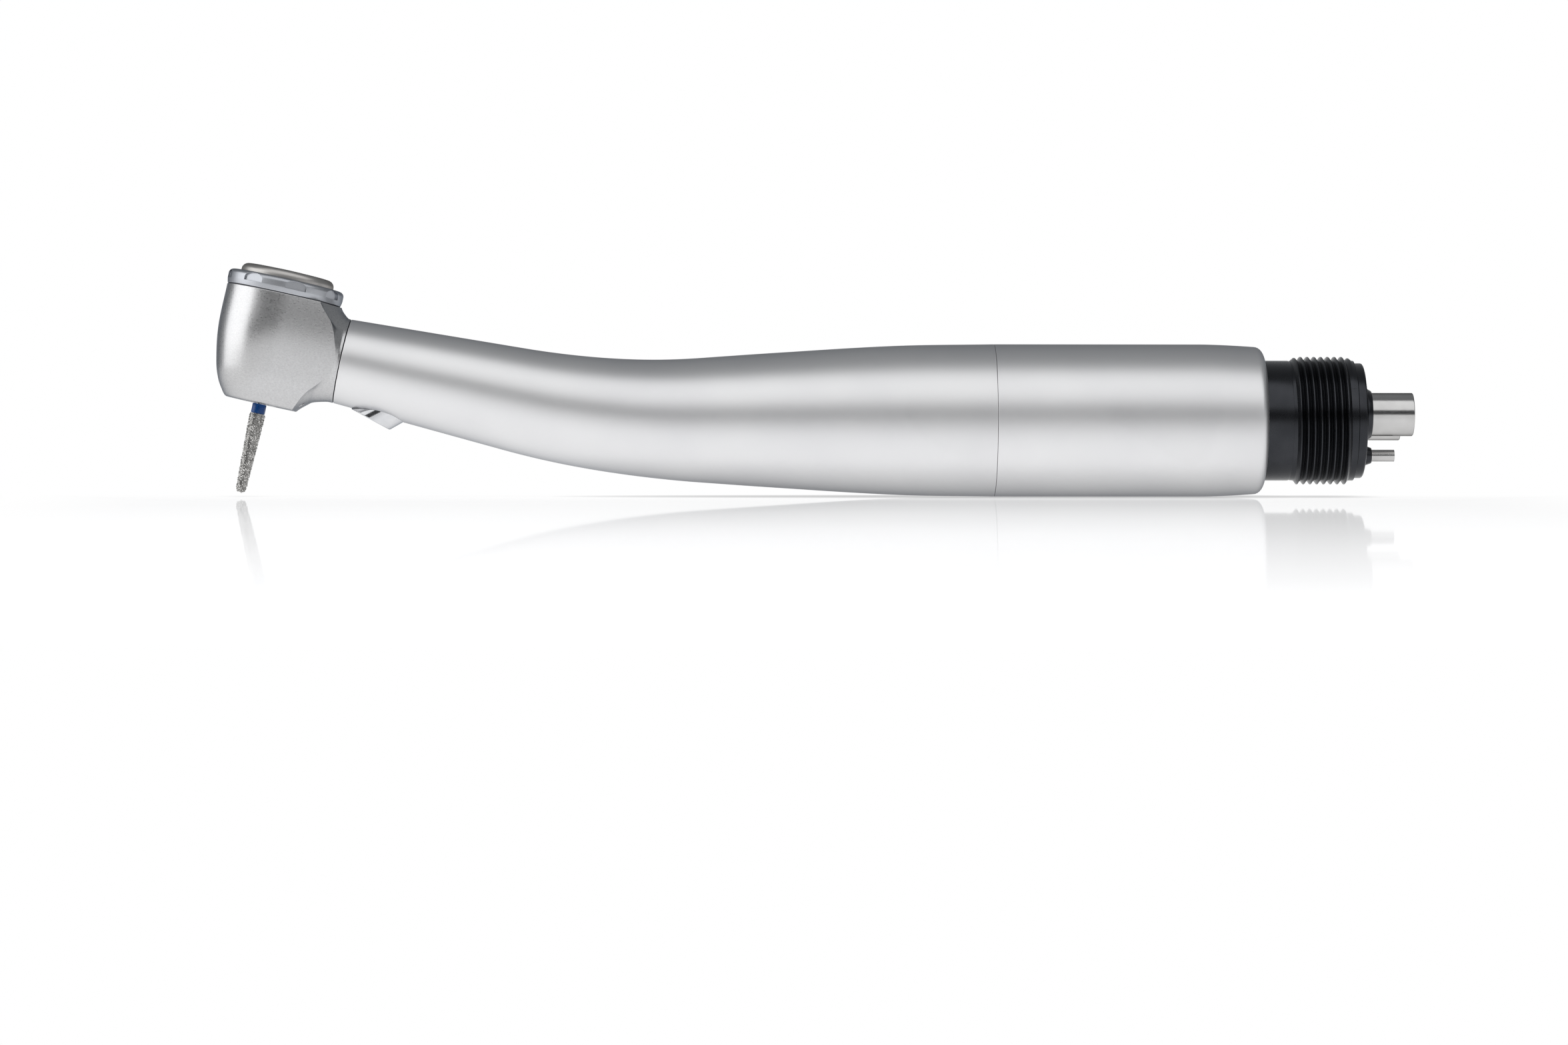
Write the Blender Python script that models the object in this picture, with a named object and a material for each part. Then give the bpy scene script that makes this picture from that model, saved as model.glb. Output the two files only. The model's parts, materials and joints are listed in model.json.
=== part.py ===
# High speed dental handpiece: air turbine head, push button chuck, lamp and threaded connector.
# Sizes are in millimetres and degrees, and meshes are written in metres.
# The origin is the middle of the connector's hose face. X runs towards the hose and Z is up.
# The handle's own frame has z running from the hose face towards the head, and x up.
# The head's own frame has z up the bur's axis, and x towards the handle.

import math

import bmesh
import bpy
from mathutils import Matrix, Vector

MM = 0.001

# Clearances
PRESS_GAP = 0.02
SEAT_GAP = 0.05
RUN_GAP = 0.06
SEAM_GAP = 0.10

# Handle
NECK_ANGLE = 12.4
BEND_START = 65.4
BEND_RADIUS = 87.0
NECK_LENGTH = 17.7
GRIP_DIAMETER = 15.14
NECK_DIAMETER = 8.47
SHELL_REAR = 36.67
SHELL_WALL = 0.9
SHELL_SPIGOT = 5.0
SHELL_TAPER = ((0.0, 1.0), (0.15, 0.95), (0.34, 0.73), (0.52, 0.49), (0.70, 0.31), (1.0, 0.0))
SHELL_STATIONS = 10
SLEEVE_REAR = 9.85
SLEEVE_WALL = 0.95
SLEEVE_LIP = 1.5
SLEEVE_TAPER = 0.24
SLEEVE_TAPER_LENGTH = 5.0
SLEEVE_ROUND = 0.9

# Connector and the tubes behind it
SHANK_DIAMETER = 11.94
PLUG_DIAMETER = 10.4
PLUG_LENGTH = 2.4
FLANGE_LENGTH = 2.1
THREAD_DIAMETER = 12.7
THREAD_PITCH = 0.675
THREAD_TURNS = 8.35
THREAD_START = 0.97
THREAD_PHASE = -60.0
THREAD_FADE = 0.25
THREAD_RELIEF = 0.05
HOSE_END_DIAMETER = 11.45
HOSE_END_ROUND = 0.2
SEAL_CORD = 0.56
EXHAUST_DIAMETER = 4.28
EXHAUST_WALL = 0.3
EXHAUST_LENGTH = 4.72
EXHAUST_ENTRY = 0.3
EXHAUST_PLACE = (0.53, -2.8)
INLET_DIAMETER = 3.0
INLET_WALL = 0.3
INLET_LENGTH = 4.16
INLET_PLACE = (-0.38, 2.9)
WATER_DIAMETER = 1.17
WATER_WALL = 0.25
WATER_LENGTH = 3.25
WATER_PLACE = (-3.48, 0.0)
SPRAY_DIAMETER = 1.0
SPRAY_WALL = 0.2
SPRAY_PLACE = (3.48, 0.0)
COLLAR_FOOT = 0.49
COLLAR_HEIGHT = 0.55
TUBE_CHAMFER = 0.12

# Air driven generator
GENERATOR_DIAMETER = 5.8
GENERATOR_WALL = 0.35
GENERATOR_LENGTH = 13.9
GENERATOR_END = 0.8
GENERATOR_SHAFT = 0.9
MAGNET_DIAMETER = 3.0
MAGNET_LENGTH = 5.5
COIL_BORE = 3.5
COIL_LENGTH = 6.3
BEARING_PLATE = 0.8
PLATE_HOLES = 4
GENERATOR_WHEEL = 4.7
GENERATOR_WHEEL_LENGTH = 2.2
GENERATOR_BLADES = 6

# Head
HEAD_HEIGHT = 11.0
HEAD_WALL = 0.8
FOOT_WALL = 0.325
HEAD_SWELL = ((0.0, 0.0), (0.03, 0.14), (0.134, 0.468), (0.282, 0.723), (0.6, 0.982), (1.0, 1.0))
FLANK_ANGLE = 11.0
NECK_HEIGHT = 5.85
NECK_REACH = 7.04
FLARE_UNDER = ((0.0, 0.0), (0.69, 0.04), (1.97, 0.39), (2.56, 0.79), (3.54, 1.66), (4.6, 3.0))
FLARE_OVER = ((0.0, 0.0), (0.29, 0.04), (0.74, 0.39), (1.09, 0.79), (1.54, 1.66), (2.04, 3.0))
FLARE_BLEND = (
    (-90, 0.0), (-45, 0.33), (-30, 0.75), (0, 1.03), (20, 1.1), (35, 0.98), (46, 0.6), (90, 1.0),
)
FLARE_LIMIT = 5.0
HEAD_SPIGOT = 2.0
FLOOR_THICKNESS = 0.7
FLOOR_HOLE = 3.8
CHAMBER_STEP = 0.3
SKIRT_WALL = 1.155
SKIRT_STEP = 0.1

# Head cap and push button
CAP_OVERHANG = 0.1
CAP_HEIGHT = 1.45
CAP_ROUND = 0.8
CAP_INSET = 0.1
CAP_WEB = 0.7
CAP_WEB_HOLE = 3.8
NOTCH_COUNT = 8
NOTCH_PHASE = 14.0
NOTCH_WIDTH = 2.1
NOTCH_HEIGHT = 0.9
NOTCH_DEPTH = 0.2
BUTTON_DIAMETER = 9.3
BUTTON_PROUD = 0.99
BUTTON_TRAVEL = 0.5
BUTTON_SPARE = 0.1
BUTTON_STEM = 2.2
BUTTON_EDGE = 0.65
BUTTON_DOME = 0.15
SPRING_WIRE = 0.25
SPRING_DIAMETER = 6.6
SPRING_TURNS = 2.5
SPRING_SPACE = 1.65

# Turbine and its bearings
SPINDLE_DIAMETER = 3.175
SPINDLE_NOSE = 0.3
SPINDLE_LIP = 0.6
SPINDLE_PROUD = 0.2
CHUCK_WALL = 0.38
CHUCK_RISE = 0.6
CHUCK_SLITS = 3
CHUCK_SLIT_WIDTH = 0.16
BEARING_OUTER = 6.35
BEARING_WIDTH = 2.38
RACE_LAND = 0.364
BALL_DIAMETER = 1.0
BALL_COUNT = 7
BALL_GAP = 0.07
CAGE_HEIGHT = 1.55
CAGE_GAP = 0.12
RING_CORD = 0.42
RING_SQUEEZE = 0.45
WASHER_THICKNESS = 0.12
WASHER_WAVE = 0.1
WASHER_SPACE = 0.42
WASHER_WIDTH = 0.84
WHEEL_DIAMETER = 8.4
WHEEL_HUB = 4.6
WHEEL_BOSS = 3.9
WHEEL_BLADES = 10
WHEEL_MARGIN = 0.6
WHEEL_ROOM = 0.3
PLUNGER_GAP = 0.3
PLUNGER_REST = 0.35
PLUNGER_SINK = 0.5

# Bur
BUR_SHANK = 1.6
BUR_NECK = 0.84
BUR_BAND_DIAMETER = 1.32
BUR_BAND_LENGTH = 0.98
BUR_DIAMOND_LENGTH = 8.0
BUR_DIAMOND_TOP = 1.48
BUR_DIAMOND_TIP = 0.95
BUR_SOCKET = 0.6

# Lamp
LAMP_DIAMETER = 3.7
LAMP_WALL = 0.35
LAMP_LENGTH = 4.0
LAMP_BACK = 3.97
LAMP_DROP = 5.03
LAMP_CUT_ANGLE = 32.0
LAMP_LENS_RECESS = 0.3
LAMP_LENS_LENGTH = 1.6
LAMP_BOARD = 0.6
LAMP_CHIP = 1.0
WIRE_DIAMETER = 0.4
WIRE_SPACING = 1.0

# Tubes at the neck, as up and sideways distances from the handle's middle line
DRIVE_DIAMETER = 1.8
DRIVE_WALL = 0.2
DRIVE_NECK_PLACE = (0.35, 1.45)
WATER_NECK_PLACE = (0.9, -1.9)
SPRAY_NECK_PLACE = (2.2, -0.1)
EXHAUST_NECK_PLACE = (-1.4, 0.2)
EXHAUST_PORT = 2.4
NOZZLE_DIAMETER = 1.1
SPRAY_CHANNEL = 0.5
TUBE_ENTRY = 1.5
WIRE_NECK_DROP = 1.3
WIRE_REAR_DROP = 2.0

# Facets
BODY_SIDES = 24
HEAD_SIDES = 28
THREAD_SIDES = 24
FINE_SIDES = 20
SMALL_SIDES = 14
TUBE_SIDES = 8
SMOOTH_ANGLE = 35.0

# Colour, roughness and metallic value of each finish
FINISHES = {
    "satin_steel": ((0.72, 0.74, 0.77), 0.32, 1.0),
    "bright_steel": ((0.80, 0.80, 0.80), 0.12, 1.0),
    "button_steel": ((0.74, 0.72, 0.70), 0.28, 1.0),
    "hard_steel": ((0.55, 0.56, 0.58), 0.22, 1.0),
    "spring_steel": ((0.45, 0.46, 0.48), 0.30, 1.0),
    "light_alloy": ((0.70, 0.71, 0.73), 0.40, 1.0),
    "cage_resin": ((0.50, 0.30, 0.12), 0.55, 0.0),
    "black_anodised": ((0.02, 0.02, 0.022), 0.30, 0.4),
    "black_rubber": ((0.03, 0.03, 0.03), 0.70, 0.0),
    "blue_band": ((0.02, 0.10, 0.42), 0.35, 0.0),
    "diamond_grit": ((0.45, 0.45, 0.46), 0.55, 0.7),
    "clear_lens": ((0.85, 0.90, 0.95), 0.05, 0.0),
    "board_white": ((0.90, 0.88, 0.75), 0.45, 0.0),
    "wire_red": ((0.60, 0.05, 0.04), 0.45, 0.0),
    "wire_black": ((0.03, 0.03, 0.03), 0.45, 0.0),
    "magnet_grey": ((0.25, 0.25, 0.27), 0.35, 0.9),
    "copper_wire": ((0.70, 0.33, 0.16), 0.35, 1.0),
    "white_resin": ((0.80, 0.80, 0.78), 0.50, 0.0),
}

# Levels up the head axis, from the foot of the head
LOWER_BEARING = FLOOR_THICKNESS + SEAT_GAP
LOWER_BEARING_TOP = LOWER_BEARING + BEARING_WIDTH
CAP_FLOOR = HEAD_HEIGHT + CAP_INSET
WEB_UNDERSIDE = CAP_FLOOR - CAP_WEB
UPPER_BEARING_TOP = WEB_UNDERSIDE - WASHER_SPACE
UPPER_BEARING = UPPER_BEARING_TOP - BEARING_WIDTH
CHAMBER_FLOOR = LOWER_BEARING_TOP + CHAMBER_STEP
SKIRT_END = UPPER_BEARING - SKIRT_STEP
SPINDLE_TOP = UPPER_BEARING_TOP + SPINDLE_PROUD
CHUCK_SEAT = SPINDLE_NOSE + SPINDLE_LIP
CHUCK_TOP = UPPER_BEARING + CHUCK_RISE
PLUNGER_END = CHUCK_TOP + PLUNGER_REST
PLUNGER_TOP = CAP_FLOOR - PLUNGER_SINK
STEM_END = PLUNGER_TOP + PLUNGER_GAP
BUTTON_SKIRT = CAP_FLOOR + BUTTON_TRAVEL + BUTTON_SPARE
CAP_TOP = HEAD_HEIGHT + SEAT_GAP + CAP_HEIGHT
BUTTON_TOP = CAP_TOP + BUTTON_PROUD
BUR_TIP = -SEAT_GAP - BUR_BAND_LENGTH - PRESS_GAP - BUR_DIAMOND_LENGTH

# Radii that pieces share
SLEEVE_BORE = GRIP_DIAMETER / 2 - SLEEVE_WALL
BEARING_SEAT = BEARING_OUTER / 2 + SEAT_GAP + PRESS_GAP
RING_GROOVE = BEARING_SEAT + RING_SQUEEZE
RIM_BORE = RING_GROOVE + SKIRT_WALL + SEAT_GAP
HEAD_RADIUS = RIM_BORE + HEAD_WALL
CAP_RADIUS = HEAD_RADIUS + CAP_OVERHANG
FOOT_RADIUS = BEARING_OUTER / 2 + FOOT_WALL
CHAMBER_RADIUS = WHEEL_DIAMETER / 2 + WHEEL_ROOM
CHUCK_BORE = BUR_SHANK / 2 + PRESS_GAP
SPINDLE_BORE = CHUCK_BORE + CHUCK_WALL + PRESS_GAP
SPINDLE_SEAT = SPINDLE_DIAMETER / 2 + PRESS_GAP
BALL_PITCH = (SPINDLE_SEAT + BEARING_OUTER / 2) / 2
HEAD_SEAM = BEND_START + BEND_RADIUS * math.radians(NECK_ANGLE) + NECK_LENGTH
CONNECTOR_FRONT = SLEEVE_REAR + SLEEVE_LIP + FLANGE_LENGTH + SEAT_GAP + PLUG_LENGTH
GENERATOR_REAR = CONNECTOR_FRONT + SEAM_GAP
GENERATOR_FRONT = GENERATOR_REAR + GENERATOR_LENGTH


# Building meshes from rings of points

def clear_scene():
    for item in list(bpy.data.objects):
        bpy.data.objects.remove(item, do_unlink=True)


def circle(radius, height, sides):
    if radius == 0:
        return [Vector((0, 0, height))]
    step = 2 * math.pi / sides
    return [Vector((radius * math.cos(step * i), radius * math.sin(step * i), height)) for i in range(sides)]


def join_rings(mesh, first, second):
    count = max(len(first), len(second))
    for i in range(count):
        j = (i + 1) % count
        if len(first) == 1:
            mesh.faces.new((first[0], second[j], second[i]))
        elif len(second) == 1:
            mesh.faces.new((first[i], first[j], second[0]))
        else:
            mesh.faces.new((first[i], first[j], second[j], second[i]))


def skin(rings, closed):
    mesh = bmesh.new()
    loops = [[mesh.verts.new(point) for point in points] for points in rings]
    for first, second in zip(loops, loops[1:]):
        join_rings(mesh, first, second)
    if closed:
        join_rings(mesh, loops[-1], loops[0])
    else:
        for end in (loops[0], loops[-1]):
            if len(end) > 1:
                mesh.faces.new(end)
    bmesh.ops.recalc_face_normals(mesh, faces=mesh.faces)
    return mesh


def turned(profile, sides):
    # A solid of revolution: a profile that starts on the axis also ends there, others are rings.
    rings = [circle(radius, height, sides) for radius, height in profile]
    return skin(rings, closed=profile[0][0] > 0)


def pipe(outer, inner, start, end, sides, chamfer=0.0):
    profile = [(outer, start + chamfer), (outer, end), (inner, end), (inner, start)]
    if chamfer:
        profile.append((outer - chamfer, start))
    return turned(profile, sides)


def ring_seal(radius, cord, height, sides):
    cord_sides = 5
    profile = []
    for i in range(cord_sides):
        angle = -2 * math.pi * i / cord_sides
        profile.append((radius + cord / 2 * math.cos(angle), height + cord / 2 * math.sin(angle)))
    return turned(profile, sides)


def bladed_wheel(bore, boss, hub, tip, low, high, boss_low, boss_high, blades):
    # Rings that share one count of points, so blades and bore join without cuts.
    outline = ((0.0, hub), (0.5, hub), (0.68, tip), (0.88, tip))

    def wheel_ring(height, radius=None):
        points = []
        for blade in range(blades):
            for share, reach in outline:
                angle = 2 * math.pi * (blade + share) / blades
                size = radius if radius else reach
                points.append(Vector((size * math.cos(angle), size * math.sin(angle), height)))
        return points

    return skin(
        [
            wheel_ring(boss_low, bore),
            wheel_ring(boss_low, boss),
            wheel_ring(low, boss),
            wheel_ring(low),
            wheel_ring(high),
            wheel_ring(high, boss),
            wheel_ring(boss_high, boss),
            wheel_ring(boss_high, bore),
        ],
        closed=True,
    )


def sweep(points, outer, sides, inner=0.0):
    # A wire, or a tube when it has an inner radius, along a row of points.
    def section(radius, index):
        before = points[max(index - 1, 0)]
        after = points[min(index + 1, len(points) - 1)]
        along = (after - before).normalized()
        across = (Vector((0, 1, 0)) - along * along.y).normalized()
        up = along.cross(across)
        step = 2 * math.pi / sides
        return [
            points[index] + radius * (math.cos(step * i) * across + math.sin(step * i) * up)
            for i in range(sides)
        ]

    rings = [section(outer, i) for i in range(len(points))]
    if inner == 0:
        return skin(rings, closed=False)
    rings += [section(inner, i) for i in reversed(range(len(points)))]
    return skin(rings, closed=True)


# Adding objects

def add_frame(name, location=(0, 0, 0), turn=0.0, parent=None):
    frame = bpy.data.objects.new(name, None)
    frame.location = Vector(location) * MM
    frame.rotation_euler = (0, turn, 0)
    frame.empty_display_size = 0.005
    frame.parent = parent
    bpy.context.scene.collection.objects.link(frame)
    return frame


def add_object(name, mesh, parent, location):
    bmesh.ops.scale(mesh, vec=(MM, MM, MM), verts=mesh.verts)
    data = bpy.data.meshes.new(name)
    mesh.to_mesh(data)
    mesh.free()
    item = bpy.data.objects.new(name, data)
    item.parent = parent
    item.location = Vector(location) * MM
    bpy.context.scene.collection.objects.link(item)
    return item


def add_part(name, mesh, finish, parent=None, location=(0, 0, 0)):
    part = add_object(name, mesh, parent, location)
    part.data.shade_smooth()
    part.data.set_sharp_from_angle(angle=math.radians(SMOOTH_ANGLE))
    colour, roughness, metallic = FINISHES[finish]
    material = bpy.data.materials.new(name + "_" + finish)
    material.use_nodes = True
    shader = material.node_tree.nodes["Principled BSDF"]
    shader.inputs["Base Color"].default_value = (*colour, 1.0)
    shader.inputs["Roughness"].default_value = roughness
    shader.inputs["Metallic"].default_value = metallic
    part.data.materials.append(material)
    return part


def shape_with(part, operation, name, mesh, parent=None, location=(0, 0, 0)):
    tool = add_object(name, mesh, parent, location)
    tool.hide_render = True
    tool.display_type = "WIRE"
    modifier = part.modifiers.new(name, "BOOLEAN")
    modifier.operation = operation
    modifier.solver = "EXACT"
    modifier.object = tool
    return tool


def boxes(count, phase, inner, outer, width, low, high):
    # A circle of upright blocks, which cut notches and slits.
    mesh = bmesh.new()
    for i in range(count):
        turn = Matrix.Rotation(math.radians(phase) + 2 * math.pi * i / count, 4, "Z")
        middle = Matrix.Translation(((inner + outer) / 2, 0, (low + high) / 2))
        size = Matrix.Diagonal((outer - inner, width, high - low, 1))
        bmesh.ops.create_cube(mesh, size=1, matrix=turn @ middle @ size)
    return mesh


# Middle line of the handle

def handle_axis(distance):
    # Point on the middle line, the direction towards the head, and up.
    straight = min(distance, BEND_START)
    turn = min(max((distance - BEND_START) / BEND_RADIUS, 0), math.radians(NECK_ANGLE))
    neck = max(distance - BEND_START - BEND_RADIUS * math.radians(NECK_ANGLE), 0)
    forward = Vector((-math.cos(turn), 0, math.sin(turn)))
    up = Vector((math.sin(turn), 0, math.cos(turn)))
    point = Vector((-straight - BEND_RADIUS * math.sin(turn), 0, BEND_RADIUS * (1 - math.cos(turn))))
    return point + neck * forward, forward, up


def beside_axis(distance, rise, aside):
    point, _, up = handle_axis(distance)
    return point + rise * up + Vector((0, aside, 0))


def smooth_value(points, share):
    # A smooth curve through a few (share, value) points.
    last = len(points) - 1
    slopes = []
    for i in range(len(points)):
        low = points[max(i - 1, 0)]
        high = points[min(i + 1, last)]
        slopes.append((high[1] - low[1]) / (high[0] - low[0]))
    part = 0
    while part < last - 1 and share > points[part + 1][0]:
        part += 1
    span = points[part + 1][0] - points[part][0]
    t = (share - points[part][0]) / span
    start, end = points[part][1], points[part + 1][1]
    return (
        start * (1 + 2 * t) * (1 - t) ** 2
        + slopes[part] * span * t * (1 - t) ** 2
        + end * t * t * (3 - 2 * t)
        - slopes[part + 1] * span * t * t * (1 - t)
    )


def shell_radius(distance):
    share = (distance - SHELL_REAR) / (HEAD_SEAM - SHELL_REAR)
    taper = smooth_value(SHELL_TAPER, min(max(share, 0), 1))
    return (NECK_DIAMETER + taper * (GRIP_DIAMETER - NECK_DIAMETER)) / 2


def tube_route(start, end, rear, neck, stations=8):
    # Points of a tube that moves from its rear place to its neck place along the handle.
    shift_start = SHELL_REAR - SHELL_SPIGOT
    shift_end = HEAD_SEAM - LAMP_BACK - 2 * LAMP_LENGTH
    distances = [start] if start < shift_start else []
    first = max(start, shift_start)
    distances += [first + (shift_end - first) * i / (stations - 1) for i in range(stations)]
    distances.append(end)
    route = []
    for distance in distances:
        t = min(max((distance - shift_start) / (shift_end - shift_start), 0), 1)
        ease = t * t * (3 - 2 * t)
        rise = rear[0] + ease * (neck[0] - rear[0])
        aside = rear[1] + ease * (neck[1] - rear[1])
        route.append(beside_axis(distance, rise, aside))
    return route


# Handle pieces

def add_body_shell():
    spigot = SLEEVE_BORE - SEAT_GAP
    spigot_bore = spigot - SHELL_WALL
    front = HEAD_SEAM - SEAM_GAP
    length = front - SHELL_REAR
    stations = [SHELL_REAR + length * i / (SHELL_STATIONS - 1) for i in range(SHELL_STATIONS)]
    outline = [(distance, shell_radius(distance)) for distance in reversed(stations)]
    outline += [(SHELL_REAR, spigot), (SHELL_REAR - SHELL_SPIGOT, spigot)]
    outline += [(SHELL_REAR - SHELL_SPIGOT, spigot_bore), (SHELL_REAR + SHELL_WALL, spigot_bore)]
    outline += [(distance, shell_radius(distance) - SHELL_WALL) for distance in stations[1:]]
    rings = []
    for distance, radius in outline:
        point, _, up = handle_axis(distance)
        flat = circle(radius, 0, BODY_SIDES)
        rings.append([point + spot.x * up + Vector((0, spot.y, 0)) for spot in flat])
    return add_part("body_shell", skin(rings, closed=True), "satin_steel")


def add_rear_sleeve(handle):
    grip = GRIP_DIAMETER / 2
    lip = SHANK_DIAMETER / 2 + SEAT_GAP
    end = grip - SLEEVE_TAPER
    profile = [
        (grip, SHELL_REAR - SEAM_GAP),
        (grip, SLEEVE_REAR + SLEEVE_TAPER_LENGTH + SLEEVE_ROUND),
        (end, SLEEVE_REAR + SLEEVE_ROUND),
        (end - 0.3 * SLEEVE_ROUND, SLEEVE_REAR + 0.3 * SLEEVE_ROUND),
        (end - SLEEVE_ROUND, SLEEVE_REAR),
        (lip, SLEEVE_REAR),
        (lip, SLEEVE_REAR + SLEEVE_LIP),
        (SLEEVE_BORE, SLEEVE_REAR + SLEEVE_LIP),
        (SLEEVE_BORE, SHELL_REAR - SEAM_GAP),
    ]
    add_part("rear_sleeve", turned(profile, BODY_SIDES), "satin_steel", handle)


def threaded_body(rear_profile, front_profile):
    # A turned body whose middle is a right-handed thread: one root line and one crest line wind round it.
    # The crest fades in and out over a share of a turn at each end.
    mesh = bmesh.new()
    sides = THREAD_SIDES
    step = 2 * math.pi / sides
    root = SHANK_DIAMETER / 2
    height = THREAD_DIAMETER / 2 - root
    steps = int(THREAD_TURNS * sides)

    def helix(index, radius, shift):
        along = THREAD_START + (index / sides + shift) * THREAD_PITCH
        return mesh.verts.new((radius * math.cos(step * index), radius * math.sin(step * index), along))

    def crest_radius(index):
        fade = min(index, steps - index) / (sides * THREAD_FADE)
        return root + height * min(max(fade, 0.1), 1)

    roots = [helix(i, root, 0) for i in range(steps + sides + 1)]
    crests = [helix(i, crest_radius(i), 0.5) for i in range(steps + 1)]
    rear = [[mesh.verts.new(p) for p in circle(r, z, sides)] for r, z in rear_profile]
    front = [[mesh.verts.new(p) for p in circle(r, z, sides)] for r, z in front_profile]
    for loops in (rear, front):
        for first, second in zip(loops, loops[1:]):
            join_rings(mesh, first, second)
    mesh.faces.new(rear[0])
    mesh.faces.new(front[-1])
    for i in range(steps):
        mesh.faces.new((roots[i], roots[i + 1], crests[i + 1], crests[i]))
        mesh.faces.new((crests[i], crests[i + 1], roots[i + 1 + sides], roots[i + sides]))
    last_rear, first_front = rear[-1], front[0]
    for i in range(sides):
        mesh.faces.new((last_rear[i], last_rear[(i + 1) % sides], roots[i + 1], roots[i]))
        here = (steps + i) % sides
        there = (steps + i + 1) % sides
        mesh.faces.new((roots[steps + i], roots[steps + i + 1], first_front[there], first_front[here]))
    mesh.faces.new((last_rear[0], roots[0], crests[0], roots[sides]))
    mesh.faces.new((first_front[steps % sides], roots[steps + sides], crests[steps], roots[steps]))
    bmesh.ops.recalc_face_normals(mesh, faces=mesh.faces)
    turn = Matrix.Rotation(math.radians(THREAD_PHASE), 3, "Z")
    bmesh.ops.rotate(mesh, matrix=turn, cent=(0, 0, 0), verts=mesh.verts)
    return mesh


def add_connector(handle):
    root = SHANK_DIAMETER / 2
    hose_end = HOSE_END_DIAMETER / 2
    thread_end = THREAD_START + (THREAD_TURNS + 1) * THREAD_PITCH
    flange = SLEEVE_REAR + SLEEVE_LIP + SEAT_GAP
    flange_end = flange + FLANGE_LENGTH
    flange_radius = SLEEVE_BORE - SEAT_GAP
    groove = SLEEVE_BORE - SEAL_CORD - SEAT_GAP
    middle = flange + FLANGE_LENGTH / 2
    half = SEAL_CORD / 2 + SEAT_GAP
    rear_profile = [
        (hose_end - HOSE_END_ROUND, 0),
        (hose_end, HOSE_END_ROUND),
        (hose_end, THREAD_START - THREAD_RELIEF),
    ]
    front_profile = [
        (root - THREAD_RELIEF, thread_end + THREAD_RELIEF),
        (root, thread_end + 3 * THREAD_RELIEF),
        (root, flange),
        (flange_radius, flange),
        (flange_radius, middle - half),
        (groove, middle - half),
        (groove, middle + half),
        (flange_radius, middle + half),
        (flange_radius, flange_end),
        (PLUG_DIAMETER / 2, flange_end),
        (PLUG_DIAMETER / 2, CONNECTOR_FRONT),
    ]
    connector = add_part("connector", threaded_body(rear_profile, front_profile), "black_anodised", handle)
    holes = (
        ("exhaust_hole", EXHAUST_DIAMETER, EXHAUST_PLACE, SMALL_SIDES),
        ("inlet_hole", INLET_DIAMETER, INLET_PLACE, SMALL_SIDES),
        ("water_hole", WATER_DIAMETER, WATER_PLACE, TUBE_SIDES),
        ("spray_hole", SPRAY_DIAMETER, SPRAY_PLACE, TUBE_SIDES),
    )
    for name, diameter, place, sides in holes:
        radius = (diameter / 2 + PRESS_GAP) / math.cos(math.pi / sides)
        profile = [(0, CONNECTOR_FRONT + 1), (radius, CONNECTOR_FRONT + 1), (radius, -1), (0, -1)]
        shape_with(connector, "DIFFERENCE", name, turned(profile, sides), handle, (*place, 0))
    seal_radius = SLEEVE_BORE - SEAT_GAP / 2 - SEAL_CORD / 2
    seal = ring_seal(seal_radius, SEAL_CORD, middle, BODY_SIDES)
    add_part("connector_seal_ring", seal, "black_rubber", handle)


def add_collar(name, diameter, place, handle):
    bore = (diameter / 2 + PRESS_GAP) / math.cos(math.pi / SMALL_SIDES)
    foot = bore + COLLAR_FOOT
    profile = [
        (bore, -COLLAR_HEIGHT - PRESS_GAP),
        (bore + COLLAR_FOOT / 3, -COLLAR_HEIGHT - PRESS_GAP),
        (foot, -PRESS_GAP),
        (bore, -PRESS_GAP),
    ]
    add_part(name, turned(profile, SMALL_SIDES), "black_anodised", handle, (*place, 0))


def add_rear_tubes(handle):
    outer = EXHAUST_DIAMETER / 2
    front = CONNECTOR_FRONT + EXHAUST_ENTRY
    exhaust = pipe(outer, outer - EXHAUST_WALL, -EXHAUST_LENGTH, front, SMALL_SIDES, TUBE_CHAMFER)
    add_part("exhaust_tube", exhaust, "bright_steel", handle, (*EXHAUST_PLACE, 0))
    outer = INLET_DIAMETER / 2
    inlet_end = GENERATOR_REAR + GENERATOR_END - SEAT_GAP
    inlet = pipe(outer, outer - INLET_WALL, -INLET_LENGTH, inlet_end, SMALL_SIDES, TUBE_CHAMFER)
    add_part("drive_inlet_tube", inlet, "bright_steel", handle, (*INLET_PLACE, 0))
    add_collar("exhaust_collar", EXHAUST_DIAMETER, EXHAUST_PLACE, handle)
    add_collar("water_collar", WATER_DIAMETER, WATER_PLACE, handle)


def add_handle_tubes():
    end = HEAD_SEAM - HEAD_SPIGOT + TUBE_ENTRY
    tubes = (
        ("drive_air_tube", DRIVE_DIAMETER, DRIVE_WALL, GENERATOR_FRONT - 0.5, INLET_PLACE, DRIVE_NECK_PLACE),
        ("water_tube", WATER_DIAMETER, WATER_WALL, -WATER_LENGTH, WATER_PLACE, WATER_NECK_PLACE),
        ("spray_air_tube", SPRAY_DIAMETER, SPRAY_WALL, 0.1, SPRAY_PLACE, SPRAY_NECK_PLACE),
    )
    for name, diameter, wall, start, rear, neck in tubes:
        route = tube_route(start, end, rear, neck)
        tube = sweep(route, diameter / 2, TUBE_SIDES, diameter / 2 - wall)
        add_part(name, tube, "bright_steel")


# Generator pieces, from its rear end towards the head

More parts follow.
